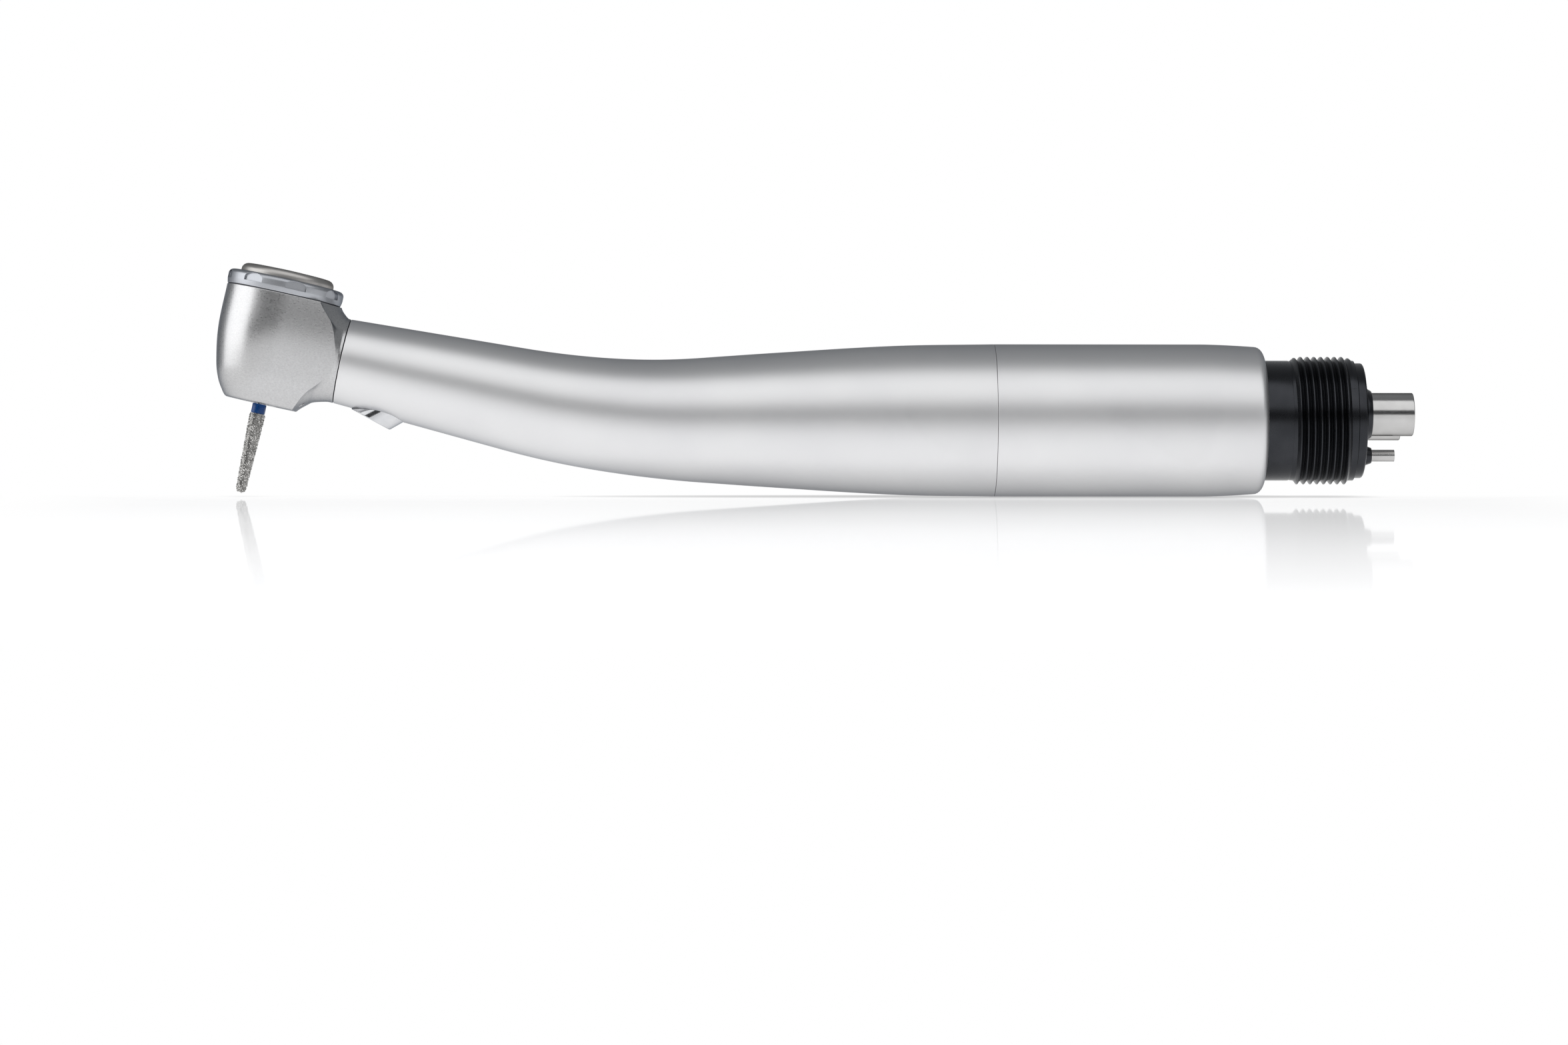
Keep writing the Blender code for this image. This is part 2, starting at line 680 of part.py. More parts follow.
def add_generator(axis):
    outer = GENERATOR_DIAMETER / 2
    bore = outer - GENERATOR_WALL
    shaft = GENERATOR_SHAFT / 2
    on_shaft = shaft + PRESS_GAP
    inlet = (INLET_DIAMETER / 2 + PRESS_GAP) / math.cos(math.pi / SMALL_SIDES)
    outlet = (DRIVE_DIAMETER / 2 + PRESS_GAP) / math.cos(math.pi / SMALL_SIDES)
    cap_end = GENERATOR_END
    housing = [
        (outer, cap_end + PRESS_GAP),
        (outer, GENERATOR_LENGTH),
        (outlet, GENERATOR_LENGTH),
        (outlet, GENERATOR_LENGTH - GENERATOR_END + 0.2),
        (bore, GENERATOR_LENGTH - GENERATOR_END + 0.2),
        (bore, cap_end + PRESS_GAP),
    ]
    add_part("generator_housing", turned(housing, FINE_SIDES), "light_alloy", axis)
    cap = pipe(outer, inlet, 0, cap_end, FINE_SIDES)
    add_part("generator_cap", cap, "light_alloy", axis)

    rear_plate = cap_end + 0.3
    front_plate = GENERATOR_LENGTH - GENERATOR_END - BEARING_PLATE
    for name, start in (("generator_rear_plate", rear_plate), ("generator_front_plate", front_plate)):
        disc = pipe(bore - SEAT_GAP, shaft + RUN_GAP, start, start + BEARING_PLATE, SMALL_SIDES)
        plate = add_part(name, disc, "white_resin", axis)
        reach = (bore + shaft) / 2
        holes = boxes(PLATE_HOLES, 45, reach - 0.45, reach + 0.45, 0.9, start - 1, start + BEARING_PLATE + 1)
        shape_with(plate, "DIFFERENCE", name + "_holes", holes, axis)

    wheel = rear_plate + BEARING_PLATE + 0.5
    wheel_end = wheel + GENERATOR_WHEEL_LENGTH
    coil = wheel_end + 0.6
    magnet = coil + (COIL_LENGTH - MAGNET_LENGTH) / 2
    blades = bladed_wheel(
        on_shaft, on_shaft + 0.35, on_shaft + 0.7, GENERATOR_WHEEL / 2,
        wheel, wheel_end, wheel - 0.2, wheel_end + 0.2, GENERATOR_BLADES,
    )
    add_part("generator_wheel", blades, "light_alloy", axis)
    winding = pipe(bore - SEAT_GAP, COIL_BORE / 2, coil, coil + COIL_LENGTH, SMALL_SIDES)
    add_part("generator_coil", winding, "copper_wire", axis)
    rotor = pipe(MAGNET_DIAMETER / 2, on_shaft, magnet, magnet + MAGNET_LENGTH, SMALL_SIDES)
    add_part("generator_magnet", rotor, "magnet_grey", axis)
    rod_end = front_plate + BEARING_PLATE + 0.1
    rod = [(0, rear_plate - 0.1), (shaft, rear_plate - 0.1), (shaft, rod_end), (0, rod_end)]
    add_part("generator_shaft", turned(rod, SMALL_SIDES), "hard_steel", axis)


# Head pieces

def teardrop(radius, height, reach):
    # A round head whose flanks run on as straight lines towards the neck.
    flank = math.radians(FLANK_ANGLE)
    start = math.pi / 2 - flank
    sweep_angle = 2 * (math.pi - start)
    arc = HEAD_SIDES - 4
    points = []
    for i in range(arc + 1):
        angle = start + sweep_angle * i / arc
        points.append(Vector((radius * math.cos(angle), radius * math.sin(angle), height)))
    edge = radius * math.cos(flank) - (reach - radius * math.sin(flank)) * math.tan(flank)
    points.append(Vector((reach, -edge, height)))
    points.append(Vector((reach, edge, height)))
    return points


def neck_form():
    # The neck's own outline, turned round the handle's line, wide over the head itself.
    # The flare goes from its under side to its upper side by the rise round the neck, in degrees.
    neck = NECK_DIAMETER / 2
    rings = []
    for under, over in zip(FLARE_UNDER, FLARE_OVER):
        points = []
        for i in range(HEAD_SIDES):
            angle = 2 * math.pi * i / HEAD_SIDES
            rise = math.degrees(math.asin(math.cos(angle)))
            blend = smooth_value(FLARE_BLEND, rise)
            back = under[0] + blend * (over[0] - under[0])
            radius = neck + under[1]
            height = NECK_HEIGHT + radius * math.cos(angle)
            points.append(Vector((NECK_REACH - back, radius * math.sin(angle), height)))
        rings.append(points)
    wide = neck + FLARE_LIMIT
    far = -2 * HEAD_RADIUS
    for reach in (0, far):
        turn = [Vector((reach, wide * p.y, wide * p.x + NECK_HEIGHT)) for p in circle(1, 0, HEAD_SIDES)]
        rings.append(turn)
    return skin(rings, closed=False)


def along_neck(profile, place, sides):
    # A turned solid lying along the neck, with its profile given as radius and reach from the head axis.
    mesh = turned(profile, sides)
    turn = Matrix.Rotation(math.radians(90), 4, "Y")
    shift = Matrix.Translation((0, place[1], NECK_HEIGHT + place[0]))
    bmesh.ops.transform(mesh, matrix=shift @ turn, verts=mesh.verts)
    return mesh


def rod_between(start, end, diameter):
    return sweep([Vector(start), Vector(end)], diameter / 2, 8)


def add_head_housing(head):
    radius = HEAD_RADIUS
    foot = FOOT_RADIUS
    far = NECK_REACH + 1
    rings = []
    for share, swell in HEAD_SWELL:
        rings.append(teardrop(foot + swell * (radius - foot), share * HEAD_HEIGHT, far))
    housing = add_part("head_housing", skin(rings, closed=False), "satin_steel", head)
    shape_with(housing, "INTERSECT", "neck_form", neck_form(), head)

    spigot = NECK_DIAMETER / 2 - SHELL_WALL - SEAT_GAP
    spigot_end = NECK_REACH + HEAD_SPIGOT
    root = NECK_REACH - 1
    plug = [(0, root), (spigot, root), (spigot, spigot_end), (0, spigot_end)]
    shape_with(housing, "UNION", "neck_spigot", along_neck(plug, (0, 0), FINE_SIDES), head)

    ring_middle = LOWER_BEARING + BEARING_WIDTH / 2
    half = RING_CORD / 2 + SEAT_GAP
    bore = [
        (0, -1),
        (FLOOR_HOLE / 2, -1),
        (FLOOR_HOLE / 2, FLOOR_THICKNESS),
        (BEARING_SEAT, FLOOR_THICKNESS),
        (BEARING_SEAT, ring_middle - half),
        (RING_GROOVE, ring_middle - half),
        (RING_GROOVE, ring_middle + half),
        (BEARING_SEAT, ring_middle + half),
        (BEARING_SEAT, CHAMBER_FLOOR),
        (CHAMBER_RADIUS, CHAMBER_FLOOR),
        (CHAMBER_RADIUS, SKIRT_END - SEAT_GAP),
        (RIM_BORE, SKIRT_END - SEAT_GAP),
        (RIM_BORE, HEAD_HEIGHT + 1),
        (0, HEAD_HEIGHT + 1),
    ]
    shape_with(housing, "DIFFERENCE", "head_bore", turned(bore, HEAD_SIDES), head)
    add_head_ports(housing, head, spigot_end + 1)


def add_head_ports(housing, head, far):
    # Air and water ways from the neck into the head.
    near = CHAMBER_RADIUS - 0.6
    seat_end = NECK_REACH
    ports = (
        ("drive_port", DRIVE_DIAMETER, DRIVE_NECK_PLACE, seat_end + 0.3),
        ("water_port", WATER_DIAMETER, WATER_NECK_PLACE, seat_end),
        ("spray_port", SPRAY_DIAMETER, SPRAY_NECK_PLACE, seat_end),
    )
    for name, diameter, place, start in ports:
        seat = (diameter / 2 + PRESS_GAP) / math.cos(math.pi / TUBE_SIDES)
        profile = [(0, start), (seat, start), (seat, far), (0, far)]
        shape_with(housing, "DIFFERENCE", name, along_neck(profile, place, TUBE_SIDES), head)
    jet = NOZZLE_DIAMETER / 2
    nozzle = [(0, near), (jet, near), (jet, seat_end + 1), (0, seat_end + 1)]
    shape_with(housing, "DIFFERENCE", "nozzle", along_neck(nozzle, DRIVE_NECK_PLACE, TUBE_SIDES), head)
    way = EXHAUST_PORT / 2
    exhaust = along_neck([(0, near), (way, near), (way, far), (0, far)], EXHAUST_NECK_PLACE, SMALL_SIDES)
    shape_with(housing, "DIFFERENCE", "exhaust_way", exhaust, head)

    rise, aside = WATER_NECK_PLACE
    well = (seat_end + 0.2, aside, NECK_HEIGHT + rise)
    outlet = (FOOT_RADIUS + 0.7, aside, 0)
    shape_with(housing, "DIFFERENCE", "spray_channel", rod_between(well, outlet, SPRAY_CHANNEL), head)
    spray_well = (seat_end + 0.2, SPRAY_NECK_PLACE[1], NECK_HEIGHT + SPRAY_NECK_PLACE[0])
    shape_with(housing, "DIFFERENCE", "spray_link", rod_between(spray_well, well, SPRAY_CHANNEL * 0.8), head)


def add_head_cap(head):
    skirt = RIM_BORE - SEAT_GAP
    rim = CAP_RADIUS
    opening = BUTTON_DIAMETER / 2 + RUN_GAP
    underside = HEAD_HEIGHT + SEAT_GAP
    ring_middle = UPPER_BEARING + BEARING_WIDTH / 2
    half = RING_CORD / 2 + SEAT_GAP
    profile = [
        (BEARING_SEAT, SKIRT_END),
        (skirt, SKIRT_END),
        (skirt, underside),
        (rim, underside),
        (rim, CAP_TOP - CAP_ROUND),
        (rim - 0.3 * CAP_ROUND, CAP_TOP - 0.3 * CAP_ROUND),
        (rim - CAP_ROUND, CAP_TOP),
        (opening + 0.1, CAP_TOP),
        (opening, CAP_TOP - 0.1),
        (opening, CAP_FLOOR),
        (CAP_WEB_HOLE / 2, CAP_FLOOR),
        (CAP_WEB_HOLE / 2, WEB_UNDERSIDE),
        (BEARING_SEAT, WEB_UNDERSIDE),
        (BEARING_SEAT, ring_middle + half),
        (RING_GROOVE, ring_middle + half),
        (RING_GROOVE, ring_middle - half),
        (BEARING_SEAT, ring_middle - half),
    ]
    cap = add_part("head_cap", turned(profile, HEAD_SIDES), "satin_steel", head)
    notch_floor = CAP_TOP - NOTCH_HEIGHT
    notches = boxes(
        NOTCH_COUNT, NOTCH_PHASE - 90, rim - NOTCH_DEPTH, rim + 1, NOTCH_WIDTH, notch_floor, CAP_TOP + 1
    )
    shape_with(cap, "DIFFERENCE", "cap_notches", notches, head)


def add_button(head, axis):
    radius = BUTTON_DIAMETER / 2
    stem = BUTTON_STEM / 2
    pocket = CAP_FLOOR + SPRING_SPACE
    pocket_inner = SPRING_DIAMETER / 2 - 3 * SPRING_WIRE
    pocket_outer = SPRING_DIAMETER / 2 + 3 * SPRING_WIRE
    shoulder = BUTTON_TOP - BUTTON_EDGE - BUTTON_DOME
    profile = [
        (0, STEM_END),
        (stem, STEM_END),
        (stem, BUTTON_SKIRT),
        (pocket_inner, BUTTON_SKIRT),
        (pocket_inner, pocket),
        (pocket_outer, pocket),
        (pocket_outer, BUTTON_SKIRT),
        (radius, BUTTON_SKIRT),
        (radius, shoulder),
        (radius - 0.3 * BUTTON_EDGE, shoulder + 0.7 * BUTTON_EDGE),
        (radius - BUTTON_EDGE, shoulder + BUTTON_EDGE),
        (radius / 2, BUTTON_TOP - BUTTON_DOME / 3),
        (0, BUTTON_TOP),
    ]
    add_part("push_button", turned(profile, HEAD_SIDES), "button_steel", axis)

    steps = int(SPRING_TURNS * 10)
    low = CAP_FLOOR + SEAT_GAP + SPRING_WIRE / 2
    high = pocket - SEAT_GAP - SPRING_WIRE / 2
    coil = []
    for i in range(steps + 1):
        angle = 2 * math.pi * SPRING_TURNS * i / steps
        reach = SPRING_DIAMETER / 2
        coil.append((reach * math.cos(angle), reach * math.sin(angle), low + (high - low) * i / steps))
    add_part("button_spring", coil_wire(coil, SPRING_WIRE / 2), "spring_steel", head)


def coil_wire(coil, radius):
    # Square to the coil: one edge points away from the axis, the next up it.
    wire_sides = 5
    rings = []
    for x, y, z in coil:
        out = Vector((x, y, 0)).normalized()
        ring = []
        for i in range(wire_sides):
            angle = 2 * math.pi * i / wire_sides
            lift = Vector((0, 0, math.sin(angle)))
            ring.append(Vector((x, y, z)) + radius * (math.cos(angle) * out + lift))
        rings.append(ring)
    return skin(rings, closed=False)


def race_groove(middle, outward):
    # Half-round track for the balls: outward is 1 on the outer race and -1 on the inner race.
    reach = BALL_DIAMETER / 2 + BALL_GAP
    spread = math.radians(40)
    points = []
    for i in range(4):
        angle = spread - 2 * spread * i / 3
        points.append((BALL_PITCH + outward * reach * math.cos(angle), middle + reach * math.sin(angle)))
    return points


def add_bearing(name, low, head, turbine, cage_axis):
    high = low + BEARING_WIDTH
    middle = (low + high) / 2
    outer_face = BALL_PITCH + RACE_LAND
    inner_face = BALL_PITCH - RACE_LAND
    outer = [(BEARING_OUTER / 2, low), (BEARING_OUTER / 2, high), (outer_face, high)]
    outer += race_groove(middle, 1) + [(outer_face, low)]
    add_part(name + "_bearing_outer", turned(outer, FINE_SIDES), "hard_steel", head)
    inner = [(SPINDLE_SEAT, low), (SPINDLE_SEAT, high), (inner_face, high)]
    inner += race_groove(middle, -1) + [(inner_face, low)]
    add_part(name + "_bearing_inner", turned(inner, FINE_SIDES), "hard_steel", turbine)

    cage_low = middle - CAGE_HEIGHT / 2
    cage_ring = pipe(
        outer_face - CAGE_GAP, inner_face + CAGE_GAP, cage_low, cage_low + CAGE_HEIGHT, 3 * BALL_COUNT
    )
    cage = add_part(name + "_bearing_cage", cage_ring, "cage_resin", cage_axis)
    pockets = bmesh.new()
    for i in range(BALL_COUNT):
        angle = 2 * math.pi * i / BALL_COUNT
        spot = Vector((BALL_PITCH * math.cos(angle), BALL_PITCH * math.sin(angle), middle))
        turn = Matrix.Rotation(angle, 4, "Z") @ Matrix.Rotation(math.radians(90), 4, "Y")
        pocket = (BALL_DIAMETER / 2 + BALL_GAP) / math.cos(math.pi / 6)
        bmesh.ops.create_cone(
            pockets, cap_ends=True, segments=6, radius1=pocket, radius2=pocket, depth=BALL_DIAMETER * 1.6,
            matrix=Matrix.Translation(spot) @ turn,
        )
        ball = bmesh.new()
        bmesh.ops.create_uvsphere(ball, u_segments=8, v_segments=5, radius=BALL_DIAMETER / 2)
        add_part(f"{name}_ball_{i + 1}", ball, "bright_steel", cage_axis, spot)
    shape_with(cage, "DIFFERENCE", name + "_cage_pockets", pockets, cage_axis)

    ring_radius = (BEARING_OUTER / 2 + RING_GROOVE) / 2
    seal = ring_seal(ring_radius, RING_CORD, middle, FINE_SIDES)
    add_part(name + "_bearing_ring", seal, "black_rubber", head)


def add_preload_washer(head):
    outer = BEARING_OUTER / 2 - SEAT_GAP
    inner = outer - WASHER_WIDTH
    middle = UPPER_BEARING_TOP + WASHER_SPACE / 2
    half = WASHER_THICKNESS / 2
    rings = []
    for radius, shift in ((outer, -half), (outer, half), (inner, half), (inner, -half)):
        ring = circle(radius, middle + shift, FINE_SIDES)
        for i, point in enumerate(ring):
            point.z += WASHER_WAVE * math.cos(3 * 2 * math.pi * i / FINE_SIDES)
        rings.append(ring)
    add_part("preload_washer", skin(rings, closed=True), "spring_steel", head)


def add_turbine(turbine):
    shaft = SPINDLE_DIAMETER / 2
    mouth = BUR_SHANK / 2 + SEAT_GAP
    spindle = [
        (mouth, SPINDLE_NOSE),
        (shaft - 0.1, SPINDLE_NOSE),
        (shaft, SPINDLE_NOSE + 0.1),
        (shaft, SPINDLE_TOP),
        (SPINDLE_BORE, SPINDLE_TOP),
        (SPINDLE_BORE, CHUCK_SEAT),
        (mouth, CHUCK_SEAT),
    ]
    add_part("spindle", turned(spindle, FINE_SIDES), "hard_steel", turbine)

    chuck_outer = SPINDLE_BORE - PRESS_GAP
    chuck_low = CHUCK_SEAT + PRESS_GAP
    collet = [
        (CHUCK_BORE, chuck_low),
        (chuck_outer, chuck_low),
        (chuck_outer, CHUCK_TOP),
        (chuck_outer - 0.2, CHUCK_TOP),
        (CHUCK_BORE, CHUCK_TOP - 0.2),
    ]
    chuck = add_part("chuck", turned(collet, FINE_SIDES), "bright_steel", turbine)
    slit_low = (chuck_low + CHUCK_TOP) / 2
    slits = boxes(
        CHUCK_SLITS, 0, CHUCK_BORE - 0.2, chuck_outer + 1, CHUCK_SLIT_WIDTH, slit_low, CHUCK_TOP + 1
    )
    shape_with(chuck, "DIFFERENCE", "chuck_slits", slits, turbine)

    wheel = bladed_wheel(
        SPINDLE_SEAT, WHEEL_BOSS / 2, WHEEL_HUB / 2, WHEEL_DIAMETER / 2,
        LOWER_BEARING_TOP + WHEEL_MARGIN, UPPER_BEARING - WHEEL_MARGIN,
        LOWER_BEARING_TOP + SEAT_GAP, UPPER_BEARING - SEAT_GAP, WHEEL_BLADES,
    )
    add_part("turbine_wheel", wheel, "light_alloy", turbine)


def add_plunger(axis):
    radius = SPINDLE_BORE - RUN_GAP
    tip = radius - 0.5
    profile = [
        (0, PLUNGER_END),
        (tip, PLUNGER_END),
        (radius, PLUNGER_END + 0.5),
        (radius, PLUNGER_TOP),
        (0, PLUNGER_TOP),
    ]
    add_part("chuck_plunger", turned(profile, SMALL_SIDES), "hard_steel", axis)


def add_bur(axis):
    shank = BUR_SHANK / 2
    neck = BUR_NECK / 2
    shank_top = CHUCK_TOP - 0.3
    band_top = -SEAT_GAP
    band_end = band_top - BUR_BAND_LENGTH
    diamond_top = band_end - PRESS_GAP
    socket = neck + PRESS_GAP
    rod = [
        (0, diamond_top - BUR_SOCKET + SEAT_GAP),
        (neck, diamond_top - BUR_SOCKET + SEAT_GAP),
        (neck, 0),
        (shank, 0),
        (shank, shank_top - 0.15),
        (shank - 0.15, shank_top),
        (0, shank_top),
    ]
    add_part("bur_shank", turned(rod, SMALL_SIDES), "bright_steel", axis)
    band = pipe(BUR_BAND_DIAMETER / 2, socket, band_end, band_top, SMALL_SIDES)
    add_part("bur_band", band, "blue_band", axis)
    tip = BUR_DIAMOND_TIP / 2
    diamond = [
        (0, BUR_TIP),
        (0.5 * tip, BUR_TIP + 0.13 * tip),
        (0.87 * tip, BUR_TIP + 0.5 * tip),
        (tip, BUR_TIP + tip),
        (BUR_DIAMOND_TOP / 2, diamond_top - 0.1),
        (BUR_DIAMOND_TOP / 2 - 0.1, diamond_top),
        (socket, diamond_top),
        (socket, diamond_top - BUR_SOCKET),
        (0, diamond_top - BUR_SOCKET),
    ]
    add_part("bur_diamond", turned(diamond, SMALL_SIDES), "diamond_grit", axis)


# Lamp pieces

def oblique_ring(radius, depth, sides):
    # A ring cut on the slant, as the lamp's end is.
    ring = circle(radius, 0, sides)
    for point in ring:
        point.z = point.x * math.tan(math.radians(LAMP_CUT_ANGLE)) - depth
    return ring


def add_lamp(frame, shell, place):
    outer = LAMP_DIAMETER / 2
    inner = outer - LAMP_WALL
    sides = FINE_SIDES
    sleeve = skin(
        [
            circle(outer, -LAMP_LENGTH, sides),
            oblique_ring(outer, 0.08, sides),
            oblique_ring(outer - 0.08, 0, sides),
            oblique_ring(inner, 0, sides),
            circle(inner, -LAMP_LENGTH, sides),
        ],
        closed=True,
    )
    add_part("lamp_sleeve", sleeve, "bright_steel", frame)
    glass = inner - PRESS_GAP
    lens = skin(
        [circle(glass, -LAMP_LENS_LENGTH, sides), oblique_ring(glass, LAMP_LENS_RECESS, sides)],
        closed=False,
    )
    add_part("lamp_lens", lens, "clear_lens", frame)
    chip_top = -LAMP_LENS_LENGTH - SEAT_GAP
    board_top = chip_top - 0.2
    board_end = board_top - LAMP_BOARD
    board = [
        (0, board_end),
        (glass, board_end),
        (glass, board_top),
        (LAMP_CHIP / 2, board_top),
        (LAMP_CHIP / 2, chip_top),
        (0, chip_top),
    ]
    add_part("lamp_led", turned(board, SMALL_SIDES), "board_white", frame)

    hole = outer + SEAT_GAP
    cutter = [(0, -LAMP_LENGTH), (hole, -LAMP_LENGTH), (hole, LAMP_LENGTH), (0, LAMP_LENGTH)]
    shape_with(shell, "DIFFERENCE", "lamp_hole", turned(cutter, FINE_SIDES), frame)
    add_lamp_wires(place, board_end - SEAT_GAP)


def add_lamp_wires(place, start):
    # Two wires from the lamp's board to the generator.
    out = place.to_3x3() @ Vector((0, 0, 1))
    rear_place = (INLET_PLACE[0] - WIRE_REAR_DROP, INLET_PLACE[1])
    for name, finish, side in (("lamp_wire_1", "wire_red", -1), ("lamp_wire_2", "wire_black", 1)):
        aside = side * WIRE_SPACING / 2
        rear = (rear_place[0], rear_place[1] + aside)
        neck = (-WIRE_NECK_DROP, aside)
        lamp_end = place.translation + start * out + Vector((0, aside, 0))
        lamp_out = place.translation - (LAMP_LENGTH + 0.3) * out + Vector((0, aside, 0))
        stop = HEAD_SEAM - LAMP_BACK - 2 * LAMP_LENGTH
        route = tube_route(GENERATOR_FRONT + SEAT_GAP, stop + 1, rear, neck)
        route += [lamp_out, lamp_end]
        add_part(name, sweep(route, WIRE_DIAMETER / 2, 6), finish)


def lamp_placement(head_place):
    # The lamp sits under the neck and points at the bur's tip.
    foot = beside_axis(HEAD_SEAM - LAMP_BACK, -LAMP_DROP, 0)
    aim = head_place @ Vector((0, 0, BUR_TIP)) - foot
    return foot, math.atan2(aim.x, aim.z)


def main():
    clear_scene()
    handle = add_frame("handle_frame", turn=math.radians(-90))
    seam, forward, up = handle_axis(HEAD_SEAM)
    head_foot = seam + NECK_REACH * forward - NECK_HEIGHT * up
    head_turn = math.radians(NECK_ANGLE)
    head = add_frame("head_frame", head_foot, head_turn)
    head_place = Matrix.Translation(head_foot) @ Matrix.Rotation(head_turn, 4, "Y")
    turbine = add_frame("turbine_axis", parent=head)
    button = add_frame("button_axis", parent=head)
    plunger = add_frame("plunger_axis", parent=turbine)
    bur = add_frame("bur_axis", parent=turbine)
    upper_cage = add_frame("upper_cage_axis", parent=head)
    lower_cage = add_frame("lower_cage_axis", parent=head)
    generator = add_frame("generator_axis", (*INLET_PLACE, GENERATOR_REAR), parent=handle)

    shell = add_body_shell()
    add_rear_sleeve(handle)
    add_connector(handle)
    add_rear_tubes(handle)
    add_handle_tubes()
    add_generator(generator)
    add_head_housing(head)
    add_head_cap(head)
    add_button(head, button)
    add_bearing("lower", LOWER_BEARING, head, turbine, lower_cage)
    add_bearing("upper", UPPER_BEARING, head, turbine, upper_cage)
    add_preload_washer(head)
    add_turbine(turbine)
    add_plunger(plunger)
    add_bur(bur)
    lamp_foot, lamp_turn = lamp_placement(head_place)
    lamp = add_frame("lamp_frame", lamp_foot, lamp_turn)
    lamp_place = Matrix.Translation(lamp_foot) @ Matrix.Rotation(lamp_turn, 4, "Y")
    add_lamp(lamp, shell, lamp_place)


main()
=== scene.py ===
import json
import math
import random

import bmesh
import bpy
from mathutils import Matrix, Vector


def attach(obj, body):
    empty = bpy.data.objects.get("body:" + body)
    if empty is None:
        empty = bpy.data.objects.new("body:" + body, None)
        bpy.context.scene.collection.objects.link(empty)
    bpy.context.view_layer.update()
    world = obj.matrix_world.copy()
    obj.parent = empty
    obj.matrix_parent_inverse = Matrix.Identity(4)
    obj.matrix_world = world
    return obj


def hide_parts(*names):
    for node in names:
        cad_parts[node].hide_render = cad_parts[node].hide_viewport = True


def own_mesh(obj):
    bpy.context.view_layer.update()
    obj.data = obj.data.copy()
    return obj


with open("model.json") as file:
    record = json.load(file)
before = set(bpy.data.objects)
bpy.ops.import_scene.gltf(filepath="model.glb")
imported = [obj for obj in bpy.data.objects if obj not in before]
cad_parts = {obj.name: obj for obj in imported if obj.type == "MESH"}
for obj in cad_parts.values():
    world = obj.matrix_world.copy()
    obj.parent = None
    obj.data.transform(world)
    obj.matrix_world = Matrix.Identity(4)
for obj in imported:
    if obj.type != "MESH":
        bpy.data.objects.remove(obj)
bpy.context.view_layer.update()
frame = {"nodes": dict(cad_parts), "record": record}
scene = bpy.context.scene
mm = 0.001
dice = random.Random(11)
print("frame loaded with", len(frame["nodes"]), "nodes")


# small mesh helpers, everything below is drawn in millimetres

def circle(radius, height, sides):
    step = 2 * math.pi / sides
    return [Vector((radius * math.cos(step * i), radius * math.sin(step * i), height)) for i in range(sides)]


def joinLoops(mesh, first, second):
    count = max(len(first), len(second))
    for i in range(count):
        j = (i + 1) % count
        if len(first) == 1:
            corners = (first[0], second[j], second[i])
        elif len(second) == 1:
            corners = (first[i], first[j], second[0])
        else:
            corners = (first[i], first[j], second[j], second[i])
        mesh.faces.new(corners)


def skinRings(rings, closed):
    mesh = bmesh.new()
    loops = [[mesh.verts.new(point) for point in ring] for ring in rings]
    for first, second in zip(loops, loops[1:]):
        joinLoops(mesh, first, second)
    if closed:
        joinLoops(mesh, loops[-1], loops[0])
    else:
        mesh.faces.new(loops[0])
        mesh.faces.new(loops[-1])
    bmesh.ops.recalc_face_normals(mesh, faces=mesh.faces)
    return mesh


def lathe(profile, sides):  # profile of radius and height, a radius of 0 sits on the axis
    mesh = bmesh.new()
    loops = []
    for radius, height in profile:
        ring = circle(radius, height, sides) if radius else [Vector((0, 0, height))]
        loops.append([mesh.verts.new(point) for point in ring])
    for first, second in zip(loops, loops[1:] + loops[:1]):
        if len(first) + len(second) > 2:
            joinLoops(mesh, first, second)
    bmesh.ops.recalc_face_normals(mesh, faces=mesh.faces)
    return mesh


def roundCorners(points, steps=5, most=0.48):  # each point is radius, height and its round's size
    outline = []
    for i, (x, z, size) in enumerate(points):
        here = Vector((x, z))
        if size == 0:
            outline.append((x, z))
            continue
        back = Vector(points[i - 1][:2]) - here
        on = Vector(points[(i + 1) % len(points)][:2]) - here
        half = back.angle(on) / 2
        reach = min(size / math.tan(half), most * back.length, most * on.length)
        middle = here + (back.normalized() + on.normalized()).normalized() * (reach / math.cos(half))
        start = here + reach * back.normalized() - middle
        end = here + reach * on.normalized() - middle
        turn = math.pi - 2 * half
        for k in range(steps + 1):
            part = turn * k / steps
            spot = middle + (start * math.sin(turn - part) + end * math.sin(part)) / math.sin(turn)
            outline.append((spot.x, spot.y))
    return outline


def smoothCurve(points, place):  # a soft curve through a few points
    last = len(points) - 1
    slopes = []
    for i in range(len(points)):
        low, high = points[max(i - 1, 0)], points[min(i + 1, last)]
        slopes.append((high[1] - low[1]) / (high[0] - low[0]))
    k = 0
    while k < last - 1 and place > points[k + 1][0]:
        k += 1
    span = points[k + 1][0] - points[k][0]
    t = (place - points[k][0]) / span
    rise = points[k][1] * (1 + 2 * t) * (1 - t) ** 2 + points[k + 1][1] * t * t * (3 - 2 * t)
    return rise + slopes[k] * span * t * (1 - t) ** 2 - slopes[k + 1] * span * t * t * (1 - t)


def quarterRound(steps):  # a quarter circle, as what is left to the side and in height
    turns = [math.pi / 2 * k / steps for k in range(steps + 1)]
    return [(1 - math.cos(turn), 1 - math.sin(turn)) for turn in turns]


def sweepTube(points, outer, inner, sides):
    def section(radius, index):
        along = points[min(index + 1, len(points) - 1)] - points[max(index - 1, 0)]
        along.normalize()
        across = (Vector((0, 1, 0)) - along * along.y).normalized()
        up = along.cross(across)
        step = 2 * math.pi / sides
        return [points[index] + radius * (math.cos(step * i) * across + math.sin(step * i) * up)
                for i in range(sides)]

    rings = [section(outer, i) for i in range(len(points))]
    rings += [section(inner, i) for i in reversed(range(len(points)))]
    return skinRings(rings, closed=True)


